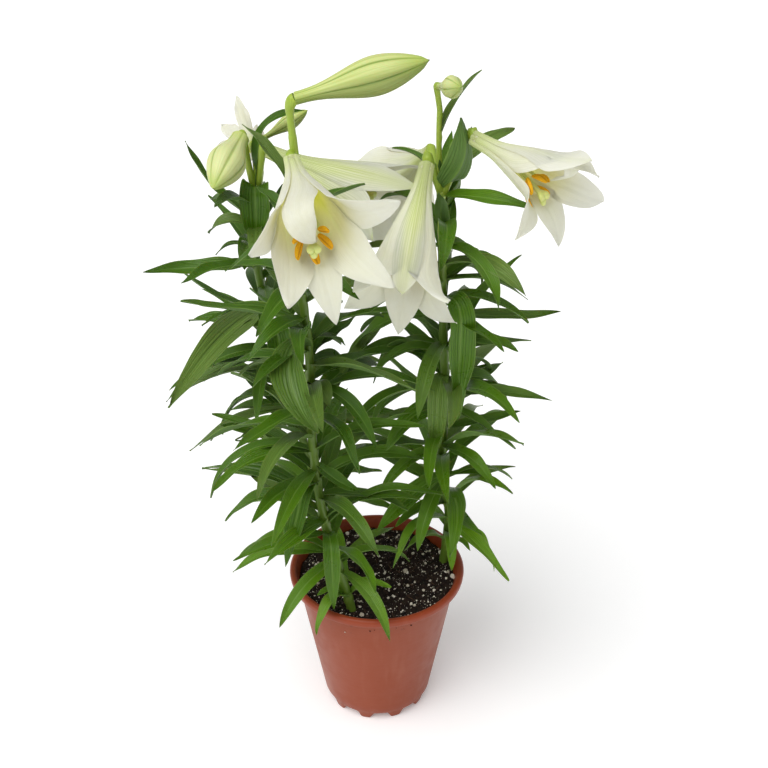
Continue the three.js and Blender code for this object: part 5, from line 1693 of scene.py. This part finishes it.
class LILY_OT_buds(bpy.types.Operator):
    """Makes the four closed buds"""

    bl_idname = "lily.buds"
    bl_label = "Buds"

    def execute(self, context):
        settings = context.scene.lily_buds
        material = bud_finish(settings)
        for name, bud in BUDS.items():
            surface = Surface("crest", "along", "pale", "tip", "round_x", "round_y")
            rings, share, wave, turn = bud_rings(bud, settings.rib_depth)
            dry = ramp((share - 0.985) / 0.01) * (1.0 if name == "large" else 0.3)
            surface.tube(
                placed(rings, bud), crest=wave, along=share, pale=bud["pale"], tip=dry,
                round_x=np.cos(turn), round_y=np.sin(turn),
            )
            surface.build(f"bud_{name}_ribbed", material, [f"bud_{name}"], crease=70)
        return {"FINISHED"}


# Stage


class LILY_OT_stage(bpy.types.Operator):
    """Makes the pale floor, the soft lights and the camera"""

    bl_idname = "lily.stage"
    bl_label = "Stage"

    def execute(self, context):
        settings = context.scene.lily_stage
        scene = context.scene
        half = 9.0
        corners = [(-half, -half, 0), (half, -half, 0), (half, half, 0), (-half, half, 0)]
        mesh = bpy.data.meshes.new("floor")
        mesh.from_pydata(corners, [], [(0, 1, 2, 3)])
        floor = bpy.data.objects.new("floor", mesh)
        scene.collection.objects.link(floor)
        finish = Finish(
            "floor_paper", settings.floor_colour, Roughness=0.95, Specular_IOR_Level=0.1,
            Emission_Strength=0.16,
        )
        white = [min(1.0, value * 1.03) for value in settings.floor_colour]
        finish.coat(white, finish.noise(finish.place(), 3.0), 0.2)
        mesh.materials.append(finish.done())

        world = bpy.data.worlds.new("studio")
        world.use_nodes = True
        sky = world.node_tree.nodes["Background"].inputs
        sky["Color"].default_value, sky["Strength"].default_value = (1, 1, 1, 1), settings.sky
        scene.world = world
        key = bpy.data.lights.new("key_light", "SUN")
        key.energy, key.angle = settings.key, math.radians(55)
        lamp = bpy.data.objects.new("key_light", key)
        lamp.rotation_euler = Vector((0.45, 0.5, -1)).to_track_quat("-Z", "Y").to_euler()
        scene.collection.objects.link(lamp)

        data = bpy.data.cameras.new("camera")
        data.lens, data.sensor_width = settings.lens, 36
        data.clip_start, data.clip_end = 0.05, 50
        camera = bpy.data.objects.new("camera", data)
        camera.location = (0.007, -1.177, 1.085)
        camera.rotation_euler = (math.radians(90 - 31.5), 0, 0)
        scene.collection.objects.link(camera)
        scene.camera = camera
        scene.view_settings.view_transform = "Standard"
        return {"FINISHED"}


OPERATORS = [
    LILY_OT_stage, LILY_OT_pot, LILY_OT_soil, LILY_OT_stems,
    LILY_OT_leaves, LILY_OT_flowers, LILY_OT_stamens, LILY_OT_buds,
]
SETTINGS = {
    "lily_pot": LILY_PG_pot, "lily_soil": LILY_PG_soil, "lily_leaves": LILY_PG_leaves,
    "lily_flowers": LILY_PG_flowers, "lily_stamens": LILY_PG_stamens, "lily_buds": LILY_PG_buds,
    "lily_stage": LILY_PG_stage,
}


class LILY_PT_panel(bpy.types.Panel):
    """Lists the pieces of the plant and their sizes and colours"""

    bl_idname = "LILY_PT_panel"
    bl_label = "Potted Easter Lily"
    bl_space_type = "VIEW_3D"
    bl_region_type = "UI"
    bl_category = "Lily"

    def draw(self, context):
        for operator in OPERATORS:
            self.layout.operator(operator.bl_idname)
        for name, kind in SETTINGS.items():
            box = self.layout.box()
            box.label(text=name.replace("lily_", "").capitalize())
            for key in kind.__annotations__:
                box.prop(getattr(context.scene, name), key)


def register():
    for kind in [*SETTINGS.values(), *OPERATORS, LILY_PT_panel]:
        bpy.utils.register_class(kind)
    for name, kind in SETTINGS.items():
        setattr(bpy.types.Scene, name, PointerProperty(type=kind))


def unregister():
    for name in SETTINGS:
        delattr(bpy.types.Scene, name)
    for kind in reversed([*SETTINGS.values(), *OPERATORS, LILY_PT_panel]):
        bpy.utils.unregister_class(kind)


def main():
    """Makes every piece in order."""
    register()
    for step in (
        bpy.ops.lily.stage, bpy.ops.lily.pot, bpy.ops.lily.soil, bpy.ops.lily.stems,
        bpy.ops.lily.leaves, bpy.ops.lily.flowers, bpy.ops.lily.stamens, bpy.ops.lily.buds,
    ):
        step()
    bpy.context.view_layer.update()


if __name__ == "__main__":
    main()
